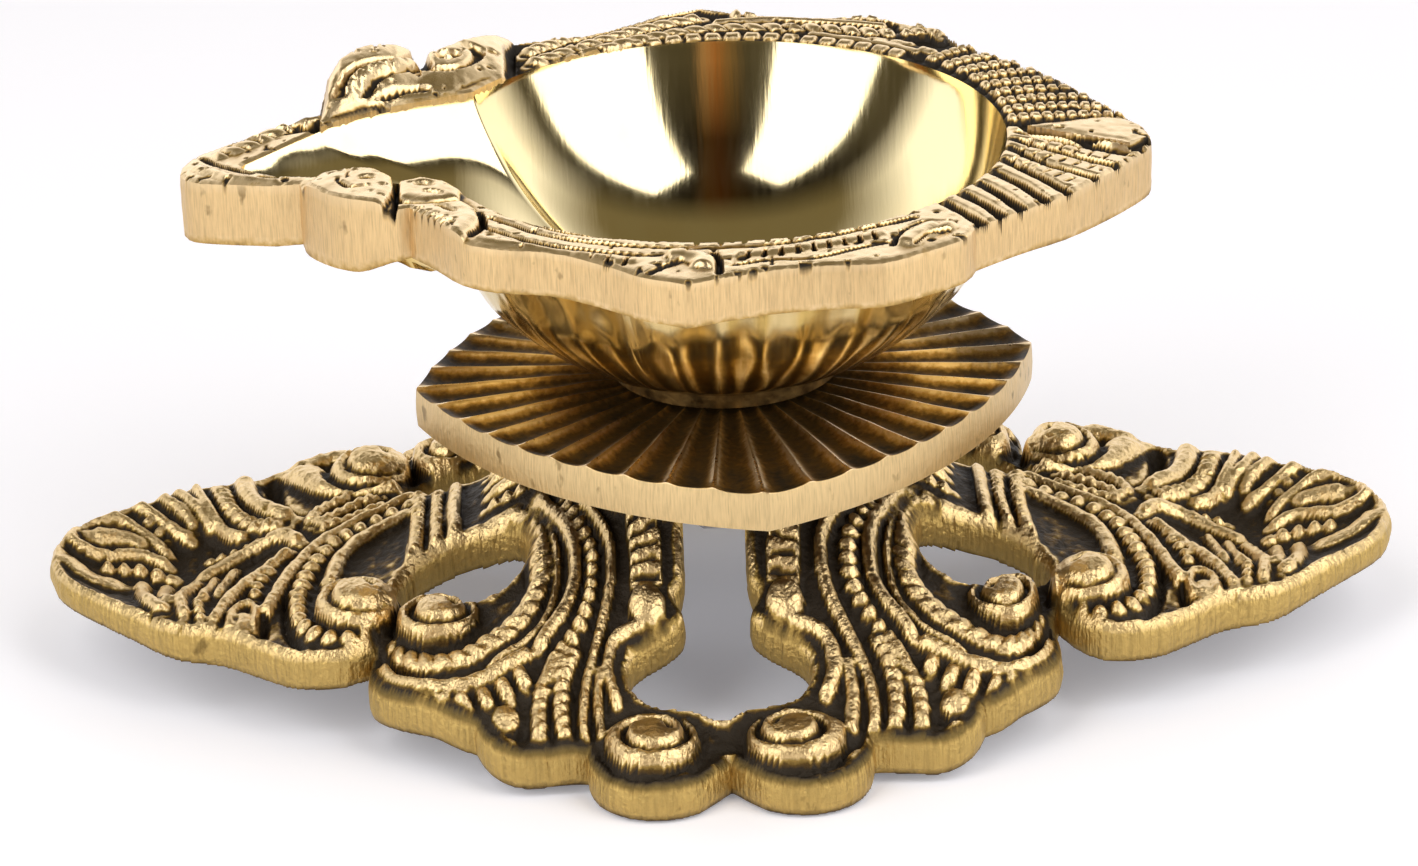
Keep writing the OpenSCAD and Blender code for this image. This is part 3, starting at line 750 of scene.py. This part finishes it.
def rim_relief(wx, wy, from_edge):
    """Height of the rim's carving, which runs out flush along the outer edge."""
    relief = np.full(wx.shape, RIM_FLOOR)
    relief[(wy < 0) | ((wx < -39) & (wy < 7))] = 0.12
    jx = wx + 0.12 * noise(wx, wy, 5, 21)
    jy = wy + 0.12 * noise(wx, wy, 5, 22)
    relief = carve(relief, jx, jy, FRONT + BACK + SPOUT, RIM_FLOOR)
    leaf = inside(LEAF, wx, wy)
    raised = np.maximum(relief, 1.3 * np.sqrt(np.clip(leaf / 1.6, 0, 1)))
    relief = carve(np.where(leaf > 0, raised, relief), wx, wy, LEAF_CUTS, 0)
    facet = inside(FACET, wx, wy)
    relief = np.where(facet > 0, np.maximum(relief, 0.25 * np.clip(facet, 0, 1)), relief)
    relief = np.where((facet < 0) & (facet > -0.5), np.minimum(relief, -0.7), relief)
    flush = ease(1.0, 0.3, from_edge) * (wx < 23) + ease(0.3, 0.1, from_edge) * (wx >= 23)
    return relief * (1 - flush) + 0.05 * flush


# %% Shape the rim


def rim_field(step):
    gx, gy = np.arange(-55.8, 46.4, step), np.arange(-41.4, 41.4, step)
    wx, wy = np.meshgrid(gx, gy, indexing="ij")
    x, y = to_rim(wx, wy)
    from_edge = inside(rim_plan, x, y)
    room = np.minimum(from_edge, -inside(mouth_plan, x, y))
    top = birds(RIM_Z + rim_relief(wx, wy, from_edge), wx, wy)
    top += 0.04 * noise(wx, wy, 0.8, 23) + 0.05 * noise(wx, wy, 2.0, 24)
    pits = ease(0.66, 0.85, noise(wx, wy, 0.9, 28))
    top -= 0.25 * pits
    deep = np.clip(RIM_Z - 0.1 - top, -0.15, 0.6) * 1.4
    deep = np.maximum.reduce([deep] + [np.roll(deep, k, axis) for k in (-1, 1) for axis in (0, 1)])
    stain = weathered(top, step, deep, 0.5)
    stain += 0.12 * noise(wx, wy, 3, 25) + 0.3 * pits + 0.12 * ease(14, 26, wx)
    fall = droop(x)
    thick = RIM_T + 2.0 * ease(-30, -36, x) + 0.5 * ease(30, 42, x)
    return wx, wy, room, top - fall, RIM_Z - thick - fall, np.clip(stain, 0, 1)


rim_step = 0.2
rim_parts = sheet(*rim_field(rim_step), rows=6, bulge=0.06, soft=(0.35, 0.25))
bowl_rim = make_object("bowl_rim", *rim_parts, "lamp", "bowl_brass", ["bowl"])

# %% [markdown]
# ## The cup
# The cup is turned smooth inside and out. Two surfaces are worked out, the cone of the bowl and the trough
# of the channel, and the lower one wins with a soft blend, which gives the rounded saddle at the neck.

# %% Inside of the cup
CUP_FLOOR, FOOT_Z, FOOT_R = 35.3, 31.9, 13.2
INNER_ROWS = 78
FAR_SHORE = np.array(far_side + [(-9, 16)])
NEAR_SHORE = np.array(near_side + [(-9, -16)])


def cup_inside(angles, reach):
    """Radii and heights of the inner surface on each spoke, and the height of the channel's bed."""
    lip = RIM_Z - 0.25
    bowl = curve([(0, CUP_FLOOR), (7.5, CUP_FLOOR + 0.3), (14, 37.2), (20, 40.6), (24.6, 45.2), (27.5, 50.2),
                  (OPENING, lip)], 12)
    share = 1 - (1 - np.linspace(0, 1, INNER_ROWS)) ** 1.35
    r = reach[:, None] * share
    x, y = r * np.cos(angles)[:, None], r * np.sin(angles)[:, None]
    cone = np.interp(r, bowl[:, 0], bowl[:, 1]) + 2 * np.clip(r - OPENING, 0, None)
    bed = np.interp(-x, [20, 25, 30, 34, 38, 42, 45, 48.5],
                    [CHANNEL_Z - 0.6, CHANNEL_Z, 46.6, 47.6, 48.7, 50, 51.2, 53])
    shore = lip - droop(x)
    from_far = (np.interp(x, *FAR_SHORE.T) - y) / np.interp(-x, [25, 38, 48], [17, 11, 4])
    from_near = (y - np.interp(x, *NEAR_SHORE.T)) / np.interp(-x, [25, 38, 48], [5, 4, 1.5])
    q = 1 - np.minimum(np.minimum(from_far, from_near), (x + 48.6) / 2.5)
    q = np.clip(q, 0, 1)
    trough = bed + (shore - bed) * (1 - np.sqrt(1 - q * q))
    blend = np.clip(0.5 + (trough - cone) / 4.4, 0, 1)
    height = trough * (1 - blend) + cone * blend - 2.2 * blend * (1 - blend)
    for turn in range(80):
        height = 0.5 * height + 0.25 * (np.roll(height, 1, 0) + np.roll(height, -1, 0))
        height[:, 1:-1] = 0.5 * height[:, 1:-1] + 0.25 * (height[:, 2:] + height[:, :-2])
    height[:, 0] = height[:, 0].mean()
    height += (shore[:, -1:] - height[:, -1:]) * share ** 14
    return r, height, bed


# %% [markdown]
# Outside, the cup runs in one curve from the rim down to the foot. Under the channel that curve turns
# into a keel, which follows the channel's bed. All spokes have as many points, so that they can be
# joined by plain rings of faces.

# %% Shape the cup


def cup_outside(r, height, bed, reach):
    """The whole section on each spoke: along the inside, over the lip and down the outside."""
    outer = curve([(FOOT_R, FOOT_Z), (FOOT_R + 6, FOOT_Z + 3.2), (25, FOOT_Z + 8.6),
                   (28.7, RIM_Z - RIM_T - 2.4), (30.3, RIM_Z - RIM_T + 0.8)], 8)[::-1]
    sections = []
    for i, far in enumerate(reach):
        ramp = np.clip((far - OPENING) / 4, 0, 1)
        keel = [(far + 0.6, RIM_Z - RIM_T + 0.6), (far - 1.5, bed[i, -12] - 1.4), (27.2, CHANNEL_Z - 0.4)]
        keel = resample(np.vstack([keel, outer[outer[:, 1] < CHANNEL_Z - 2]]), len(outer))
        sections.append(np.vstack([np.stack([r[i], height[i]], 1), outer * (1 - ramp) + keel * ramp]))
    grid = np.array(sections)
    grid[:, 0, 0] = 0.0
    return grid


def cup_faces(spokes, rows):
    """Rings of faces from the middle of the floor, where all spokes meet, to the foot."""
    faces = []
    for i in range(spokes):
        j = (i + 1) % spokes
        faces.append((0, j * rows + 1, i * rows + 1))
        for k in range(1, rows - 1):
            faces.append((i * rows + k, i * rows + k + 1, j * rows + k + 1, j * rows + k))
    faces.append([i * rows + rows - 1 for i in range(spokes)])
    return faces


def cup_mesh(spokes):
    angles = np.arange(spokes) * 2 * math.pi / spokes
    reach = mouth_radius(angles)
    grid = cup_outside(*cup_inside(angles, reach), reach)
    rows = grid.shape[1]
    x = grid[:, :, 0] * np.cos(angles)[:, None]
    y = grid[:, :, 0] * np.sin(angles)[:, None]
    z = grid[:, :, 1]
    around = np.degrees(angles)[:, None] + 0 * z
    wave = 0.12 * noise(around, z, 4.5, 31)
    wave += 0.03 * noise(around, z, 2.2, 32)
    out = np.arange(rows) >= INNER_ROWS
    x += np.where(out, wave * np.cos(angles)[:, None], 0)
    y += np.where(out, wave * np.sin(angles)[:, None], 0)
    c, s = math.cos(math.radians(YAW)), math.sin(math.radians(YAW))
    points = np.stack([x * c - y * s + STUD_X, x * s + y * c, z], 2).reshape(-1, 3)
    used = np.ones(len(points), bool)
    used[np.arange(1, spokes) * rows] = False
    renumber = np.cumsum(used) - 1
    faces = [[int(renumber[v]) for v in face] for face in cup_faces(spokes, rows)]
    # Painted reflection: upright light and dark bands round the outside of the cup stand in for the plate's
    # flutes and the floor mirrored in it. They are carried by streak and the patina attribute, over a thin
    # even patina.
    streak = 0.10 + 0.20 * ease(-0.2, 0.5, noise(angles * 57.3, angles * 0, 3.1, 33))
    patina = np.where(out[None, :], streak[:, None], 0.0).ravel()
    low = np.tile(np.where(out, ease(FOOT_Z + 4, FOOT_Z, grid[0, :, 1]) * 0.5, 0), spokes)
    ground = np.tile(np.where(out, 0.0, 1.0), spokes)
    return points[used], faces, (patina + low)[used], ground[used]


bowl_cup = make_object("bowl_cup", *cup_mesh(480), "lamp", "bowl_brass", [], 35)

# %% [markdown]
# ## The fluted plate
# A rounded square with forty flutes running out from the middle. Each flute is a shallow trough with a sharp
# ridge on either side, and the ridges fade out under the collar.

# %% Shape the plate
PLATE_Z, PLATE_T, CORNER_R, FLUTES, PLATE_YAW = 25.3, 4.5, 32.0, 40, 6.0
BULGE, BORE = 0.877, 3.1


def plate_radius(angle):
    """Distance from the stud to the plate's edge, whose four sides are arcs."""
    side = BULGE * CORNER_R
    half = CORNER_R * math.sqrt(0.5)
    sag = side - half
    r = (half * half + sag * sag) / (2 * sag)
    off = side - r
    a = angle % (math.pi / 2) - math.pi / 4
    return off * np.cos(a) + np.sqrt(r * r - (off * np.sin(a)) ** 2)


def plate_mesh(per_flute, rings):
    spokes = FLUTES * per_flute
    a = np.arange(spokes) * 2 * math.pi / spokes
    edge = plate_radius(a)
    t = np.linspace(0, 1, rings) ** 0.8
    radius = BORE + (edge[:, None] - BORE) * t[None, :]
    phase = (np.arange(spokes) / per_flute) % 1
    tilt = np.abs(((phase + 0.08) % 1) - 0.5) * 2
    width = radius * 2 * math.pi / FLUTES
    depth = np.clip(0.24 * width, 0.2, 1.0) * ease(8, 12, radius)
    trough = -depth * (1 - tilt[:, None] ** 2.6)
    lip = ease(1.8, 0.0, edge[:, None] - radius)
    wander = 0.14 * noise(np.degrees(a)[:, None] / 2 + 0 * radius, radius, 3, 41)
    top = PLATE_Z + PLATE_T + trough * (1 - 0.7 * lip) + wander * 0.5 - 0.1 * lip
    # Darker in the flute troughs, where patina sits, darker towards the middle of the top under the cup, and
    # a little random wander.
    stain = 0.16 + 0.55 * (-trough / 0.9) ** 1.5 + 0.30 * ease(24, 13, radius) + 0.15 * wander
    stain = np.clip(stain, 0, 1)
    x = radius * np.cos(a)[:, None]
    y = radius * np.sin(a)[:, None]
    layers = [np.stack([x, y, top], 2)]
    marks = [stain]
    grounds = [np.zeros(radius.shape)]
    for f in (0.0, 0.25, 0.5, 0.75, 1.0):
        out = 0.02 + 0.12 * math.sin(math.pi * f)
        e = (edge + out)[:, None]
        z = PLATE_Z + 0.15 * (f == 1.0) + (top[:, -1:] - 0.12 - PLATE_Z) * (1 - f)
        layers.append(np.stack([e * np.cos(a)[:, None], e * np.sin(a)[:, None], z], 2))
        marks.append(np.full((spokes, 1), 0.15))
        grounds.append(np.ones((spokes, 1)))
    for reach in (edge * 0.97, edge * 0.6, np.full(spokes, BORE)):
        e = reach[:, None]
        layers.append(np.stack([e * np.cos(a)[:, None], e * np.sin(a)[:, None], np.full_like(e, PLATE_Z)], 2))
        marks.append(np.full((spokes, 1), 0.7))
        grounds.append(np.zeros((spokes, 1)))
    grid = np.concatenate(layers, 1)
    rows = grid.shape[1]
    yaw = math.radians(PLATE_YAW)
    gx = grid[..., 0] * math.cos(yaw) - grid[..., 1] * math.sin(yaw) + STUD_X
    gy = grid[..., 0] * math.sin(yaw) + grid[..., 1] * math.cos(yaw)
    points = np.stack([gx, gy, grid[..., 2]], 2).reshape(-1, 3)
    i = np.arange(spokes)[:, None] * rows
    j = (np.arange(spokes)[:, None] + 1) % spokes * rows
    k = np.arange(rows)[None, :]
    n = (k + 1) % rows
    faces = np.stack([i + k, i + n, j + n, j + k], 2).reshape(-1, 4).tolist()
    return points, faces, np.concatenate(marks, 1).ravel(), np.concatenate(grounds, 1).ravel()


fluted_plate = make_object("fluted_plate", *plate_mesh(20, 44),
                           "plate", "plate_brass", ["square_plate"])

# %% [markdown]
# ## Finishes
# Antique brass is cast, dipped in a dark patina and then rubbed back, so the colour follows the relief: pale
# metal on the high points, brown and then black in the hollows. The patina numbers on the mesh
# drive that mix, and fine noise breaks up the border between the two.

# %% Helpers for shader nodes


def shader(name):
    """A new material with its node tree and its main shader."""
    material = bpy.data.materials.new(name)
    material.use_nodes = True
    tree = material.node_tree
    return material, tree, tree.nodes["Principled BSDF"]


def add(tree, kind, **values):
    """A node whose settings and sockets are given by name."""
    node = tree.nodes.new("ShaderNode" + kind)
    for key, value in values.items():
        if hasattr(node, key):
            setattr(node, key, value)
        else:
            node.inputs[key.replace("_", " ")].default_value = value
    return node


def ramp(tree, stops):
    """A colour ramp from (place, colour) stops."""
    node = tree.nodes.new("ShaderNodeValToRGB")
    elements = node.color_ramp.elements
    while len(elements) < len(stops):
        elements.new(0.5)
    for element, (place, colour) in zip(elements, stops):
        element.position = place
        element.color = (*colour, 1) if len(colour) == 3 else colour
    return node


def grain(tree, size, stretch=(1, 1, 1), detail=3.0):
    """A noise pattern fixed to the piece, with `size` cells to the metre."""
    place = add(tree, "TexCoord")
    mapping = tree.nodes.new("ShaderNodeMapping")
    mapping.inputs["Scale"].default_value = [size * s for s in stretch]
    texture = tree.nodes.new("ShaderNodeTexNoise")
    texture.inputs["Scale"].default_value = 1.0
    texture.inputs["Detail"].default_value = detail
    tree.links.new(place.outputs["Object"], mapping.inputs["Vector"])
    tree.links.new(mapping.outputs["Vector"], texture.inputs["Vector"])
    return texture.outputs["Fac"]


def calc(tree, how, a, b, clamp=False):
    """One sum of two numbers or sockets."""
    node = add(tree, "Math", operation=how)
    node.use_clamp = clamp
    for socket, value in zip(node.inputs, (a, b)):
        if isinstance(value, (int, float)):
            socket.default_value = value
        else:
            tree.links.new(value, socket)
    return node.outputs[0]


# %% Antique brass


def antique_brass(name, pale, gold, brown, black, edge, polish, streak, places=(0.30, 0.46, 0.64, 0.86),
                  cast=0.15):
    """`edge` is the belt-ground colour, `streak` how fine its lines are, `places` where each tone starts."""
    material, tree, shade = shader(name)
    patina = add(tree, "Attribute", attribute_name="patina").outputs["Fac"]
    ground = add(tree, "Attribute", attribute_name="ground").outputs["Fac"]
    speckle = grain(tree, 1500, detail=4.0)
    cloud = grain(tree, 260)
    wear = calc(tree, "ADD", patina, calc(tree, "MULTIPLY", calc(tree, "SUBTRACT", speckle, 0.5), 0.42))
    wear = calc(tree, "ADD", wear, calc(tree, "MULTIPLY", calc(tree, "SUBTRACT", cloud, 0.5), 0.36), True)
    colour = ramp(tree, [(0.0, pale)] + list(zip(places, (pale, gold, brown, black))))
    tree.links.new(wear, colour.inputs["Fac"])
    lines = grain(tree, 1.0, (streak, streak, streak * 0.07), 2.0)
    dim, bright = [0.82 * c for c in edge], [min(1.0, 1.1 * c) for c in edge]
    filed = ramp(tree, [(0.28, dim), (0.5, edge), (0.72, bright)])
    tree.links.new(lines, filed.inputs["Fac"])
    worn = ramp(tree, [(0.66, (0, 0, 0)), (0.74, (1, 1, 1))])
    tree.links.new(grain(tree, 520, (1, 1, 0.6)), worn.inputs["Fac"])
    spotted = add(tree, "MixRGB")
    spotted.inputs["Color2"].default_value = (*brown, 1)
    tree.links.new(calc(tree, "MULTIPLY", worn.outputs["Color"], 0.6), spotted.inputs["Fac"])
    tree.links.new(filed.outputs["Color"], spotted.inputs["Color1"])
    both = add(tree, "MixRGB")
    tree.links.new(calc(tree, "MULTIPLY", ground, 1.0, True), both.inputs["Fac"])
    tree.links.new(colour.outputs["Color"], both.inputs["Color1"])
    tree.links.new(spotted.outputs["Color"], both.inputs["Color2"])
    tree.links.new(both.outputs["Color"], shade.inputs["Base Color"])
    rough = calc(tree, "ADD", calc(tree, "MULTIPLY", wear, 0.38), polish)
    tree.links.new(calc(tree, "ADD", rough, calc(tree, "MULTIPLY", ground, 0.1)), shade.inputs["Roughness"])
    metal = ramp(tree, [(0.5, (1, 1, 1)), (0.9, (0.45, 0.45, 0.45))])
    tree.links.new(calc(tree, "MULTIPLY", wear, calc(tree, "SUBTRACT", 1.0, ground)), metal.inputs["Fac"])
    tree.links.new(metal.outputs["Color"], shade.inputs["Metallic"])
    bump = add(tree, "Bump", Strength=cast, Distance=0.0003)
    tree.links.new(calc(tree, "ADD", speckle, calc(tree, "MULTIPLY", lines, ground)), bump.inputs["Height"])
    tree.links.new(bump.outputs["Normal"], shade.inputs["Normal"])
    return material


# %% Antique brass on the three castings
PALE, GOLD = (0.82, 0.62, 0.35), (0.52, 0.33, 0.10)
BROWN, BLACK = (0.13, 0.075, 0.022), (0.022, 0.015, 0.008)
base_finish = antique_brass("base_brass", (0.78, 0.57, 0.28), (0.38, 0.25, 0.07), (0.12, 0.07, 0.02),
                            (0.028, 0.018, 0.008), (0.52, 0.36, 0.12), 0.30, 2200,
                            places=(0.15, 0.31, 0.52, 0.82), cast=0.9)
rim_finish = antique_brass("rim_brass", PALE, GOLD, BROWN, BLACK, (0.70, 0.50, 0.25), 0.27, 5600)
plate_finish = antique_brass("plate_brass", PALE, (0.50, 0.31, 0.10), (0.14, 0.08, 0.022), BLACK,
                             (0.68, 0.50, 0.25), 0.22, 5600, places=(0.26, 0.40, 0.60, 0.84))
base_casting.data.materials.append(base_finish)
bowl_rim.data.materials.append(rim_finish)
fluted_plate.data.materials.append(plate_finish)

# %% [markdown]
# The cup was turned and buffed, so it mirrors the room. Hair-fine scratches from buffing break the
# mirror a little, and outside it keeps faint upright ripples, painted reflection in upright light and dark
# bands that stand in for the mirrored flutes and floor, and a brown tint towards the foot.

# %% Polished and plated finishes


def polished_brass():
    material, tree, shade = shader("polished_brass")
    buffed = add(tree, "Attribute", attribute_name="ground").outputs["Fac"]
    # On the outside the patina attribute holds painted reflection: upright light and dark bands that stand in
    # for the mirrored flutes and floor, laid over a thin patina and a brown tint towards the foot.
    patina = add(tree, "Attribute", attribute_name="patina").outputs["Fac"]
    cloud = grain(tree, 90, detail=4.0)
    tone = calc(tree, "ADD", patina, calc(tree, "MULTIPLY", calc(tree, "SUBTRACT", cloud, 0.5), 0.3), True)
    colour = ramp(tree, [(0.0, (0.84, 0.70, 0.40)), (0.3, (0.72, 0.51, 0.17)), (0.6, (0.35, 0.21, 0.06)),
                         (0.85, (0.06, 0.035, 0.012))])
    tree.links.new(tone, colour.inputs["Fac"])
    tree.links.new(colour.outputs["Color"], shade.inputs["Base Color"])
    shade.inputs["Metallic"].default_value = 1.0
    scratch = grain(tree, 1.0, (2600, 240, 240), 2.0)
    rough = calc(tree, "ADD", calc(tree, "MULTIPLY", scratch, 0.10), 0.05)
    dull = calc(tree, "MULTIPLY", calc(tree, "SUBTRACT", 1.0, buffed), 0.04)
    tree.links.new(calc(tree, "ADD", rough, dull), shade.inputs["Roughness"])
    bump = add(tree, "Bump", Strength=0.10, Distance=0.00005)
    tree.links.new(scratch, bump.inputs["Height"])
    tree.links.new(bump.outputs["Normal"], shade.inputs["Normal"])
    return material


def plain_metal(name, light, dark, rough, size):
    material, tree, shade = shader(name)
    colour = ramp(tree, [(0.3, dark), (0.7, light)])
    tree.links.new(grain(tree, size, detail=5.0), colour.inputs["Fac"])
    tree.links.new(colour.outputs["Color"], shade.inputs["Base Color"])
    shade.inputs["Metallic"].default_value = 1.0
    shade.inputs["Roughness"].default_value = rough
    bump = add(tree, "Bump", Strength=0.5, Distance=0.0002)
    tree.links.new(grain(tree, size * 3, detail=5.0), bump.inputs["Height"])
    tree.links.new(bump.outputs["Normal"], shade.inputs["Normal"])
    return material


# %% Paint the cup and the small parts
bowl_cup.data.materials.append(polished_brass())
collar_finish = plain_metal("collar_brass", (0.34, 0.22, 0.08), (0.05, 0.03, 0.012), 0.45, 420)
steel_finish = plain_metal("fixing_steel", (0.66, 0.66, 0.67), (0.42, 0.42, 0.44), 0.38, 700)
for obj in list(bpy.data.objects):
    if obj.type != "MESH" or obj.name in ("base_casting", "bowl_rim", "bowl_cup", "fluted_plate"):
        continue
    finish = collar_finish if "collar" in obj.name else steel_finish
    obj.data.materials.clear()
    obj.data.materials.append(finish)
    print("painted", obj.name, "with", finish.name)

# %% [markdown]
# ## Table, light and camera
# Polished metal shows what it faces, so the lamps matter more than the paint: two large soft boxes leave
# pale windows in the cup with a dark gap between them, and a pale table lights the casting from below.

# %% Area lamps


def area(name, place, aim, size, power):
    """A rectangular lamp that faces `aim`."""
    data = bpy.data.lights.new(name, "AREA")
    data.shape = "RECTANGLE"
    data.size, data.size_y = size
    data.energy = power
    lamp = bpy.data.objects.new(name, data)
    lamp.location = place
    lamp.rotation_euler = (Vector(aim) - Vector(place)).to_track_quat("-Z", "Y").to_euler()
    bpy.context.scene.collection.objects.link(lamp)
    return lamp


# %% Table
HALF = 3
table_mesh = bpy.data.meshes.new("table")
corners = [(-HALF, -HALF, 0), (HALF, -HALF, 0), (HALF, HALF, 0), (-HALF, HALF, 0)]
table_mesh.from_pydata(corners, [], [(0, 1, 2, 3)])
table = bpy.data.objects.new("table", table_mesh)
bpy.context.scene.collection.objects.link(table)
white, tree, shade = shader("table_white")
shade.inputs["Base Color"].default_value = (0.95, 0.94, 0.97, 1)
shade.inputs["Roughness"].default_value = 0.85
shade.inputs["Emission Color"].default_value = (0.93, 0.93, 1.0, 1)
shade.inputs["Emission Strength"].default_value = 0.20
table_mesh.materials.append(white)
# %% [markdown]
# The room itself is a gradient over directions: bright behind the lamp, dim on the user's side, dark
# overhead, with a warm strip in the gap between the two boxes, which the cup mirrors as an amber band.

# %% Room
world = bpy.data.worlds.new("studio")
bpy.context.scene.world = world
world.use_nodes = True
tree = world.node_tree
way = tree.nodes.new("ShaderNodeSeparateXYZ")
tree.links.new(add(tree, "TexCoord").outputs["Generated"], way.inputs[0])


def shade_along(axis, stops):
    """A colour ramp over one axis of the direction, from -1 at place 0 to 1 at place 1."""
    node = ramp(tree, stops)
    share = calc(tree, "ADD", calc(tree, "MULTIPLY", way.outputs[axis], 0.5), 0.5)
    tree.links.new(share, node.inputs["Fac"])
    return node.outputs["Color"]


behind = shade_along("Y", [(0.46, (0, 0, 0)), (0.60, (1, 1, 1))])
above = shade_along("Z", [(0.70, (1, 1, 1)), (0.90, (0.13, 0.11, 0.06))])
gap = shade_along("X", [(0.40, (0.5, 0.5, 0.4)), (0.455, (1.4, 1.0, 0.5)), (0.50, (2.4, 1.1, 0.4)),
                        (0.54, (2.8, 1.9, 1.1)), (0.57, (0.5, 0.5, 0.4))])
front = add(tree, "MixRGB", blend_type="MULTIPLY")
front.inputs["Fac"].default_value = 1.0
front.inputs["Color1"].default_value = (0.15, 0.13, 0.10, 1)
tree.links.new(gap, front.inputs["Color2"])
turn = add(tree, "MixRGB")
tree.links.new(behind, turn.inputs["Fac"])
tree.links.new(front.outputs["Color"], turn.inputs["Color1"])
turn.inputs["Color2"].default_value = (1.5, 1.5, 1.55, 1)
sky = add(tree, "MixRGB", blend_type="MULTIPLY")
sky.inputs["Fac"].default_value = 1.0
tree.links.new(turn.outputs["Color"], sky.inputs["Color1"])
tree.links.new(above, sky.inputs["Color2"])
tree.links.new(sky.outputs["Color"], tree.nodes["Background"].inputs["Color"])
tree.nodes["Background"].inputs["Strength"].default_value = 1.0

# %% Soft boxes


def soft_box(name, azimuth, spread, low, high, brightness, distance=0.55):
    """An upright panel that covers `spread` degrees to either side of its azimuth."""
    a = math.radians(azimuth)
    width = 2 * distance * math.tan(math.radians(spread))
    place = (math.sin(a) * distance, -math.cos(a) * distance, (low + high) / 2)
    power = brightness * math.pi * width * (high - low)
    return area(name, place, (0, 0, place[2]), (width, high - low), power)


soft_box("left box", -48, 23, 0.05, 1.7, 2.7)
soft_box("right box", 55, 26, 0.05, 1.7, 2.7)

# %% [markdown]
# The camera stands about half a metre away and looks down on the lamp, as a person at the table does.
# A long lens from there keeps the perspective mild.

# %% Camera
CAM_AIM = Vector((-0.8, 4.5, 20.0)) * MM
CAM_ELEVATION, CAM_AZIMUTH, CAM_ROLL = 24.0, -0.5, -1.8
CAM_DISTANCE = 0.520
LENS, SENSOR = 126.0, 36.0


def place_camera():
    e, a, t = (math.radians(v) for v in (CAM_ELEVATION, CAM_AZIMUTH, CAM_ROLL))
    forward = Vector((-math.sin(a) * math.cos(e), math.cos(a) * math.cos(e), -math.sin(e)))
    level = Vector((math.cos(a), math.sin(a), 0))
    right = level * math.cos(t) + level.cross(forward) * math.sin(t)
    up = right.cross(forward)
    data = bpy.data.cameras.new("camera")
    data.lens, data.sensor_width = LENS, SENSOR
    camera = bpy.data.objects.new("camera", data)
    bpy.context.scene.collection.objects.link(camera)
    turn = Matrix((right, up, -forward)).transposed().to_4x4()
    camera.matrix_world = Matrix.Translation(CAM_AIM - forward * CAM_DISTANCE) @ turn
    data.clip_start, data.clip_end = 0.01, 20
    bpy.context.scene.camera = camera
    return camera


camera = place_camera()
bpy.context.scene.view_settings.view_transform = "Standard"
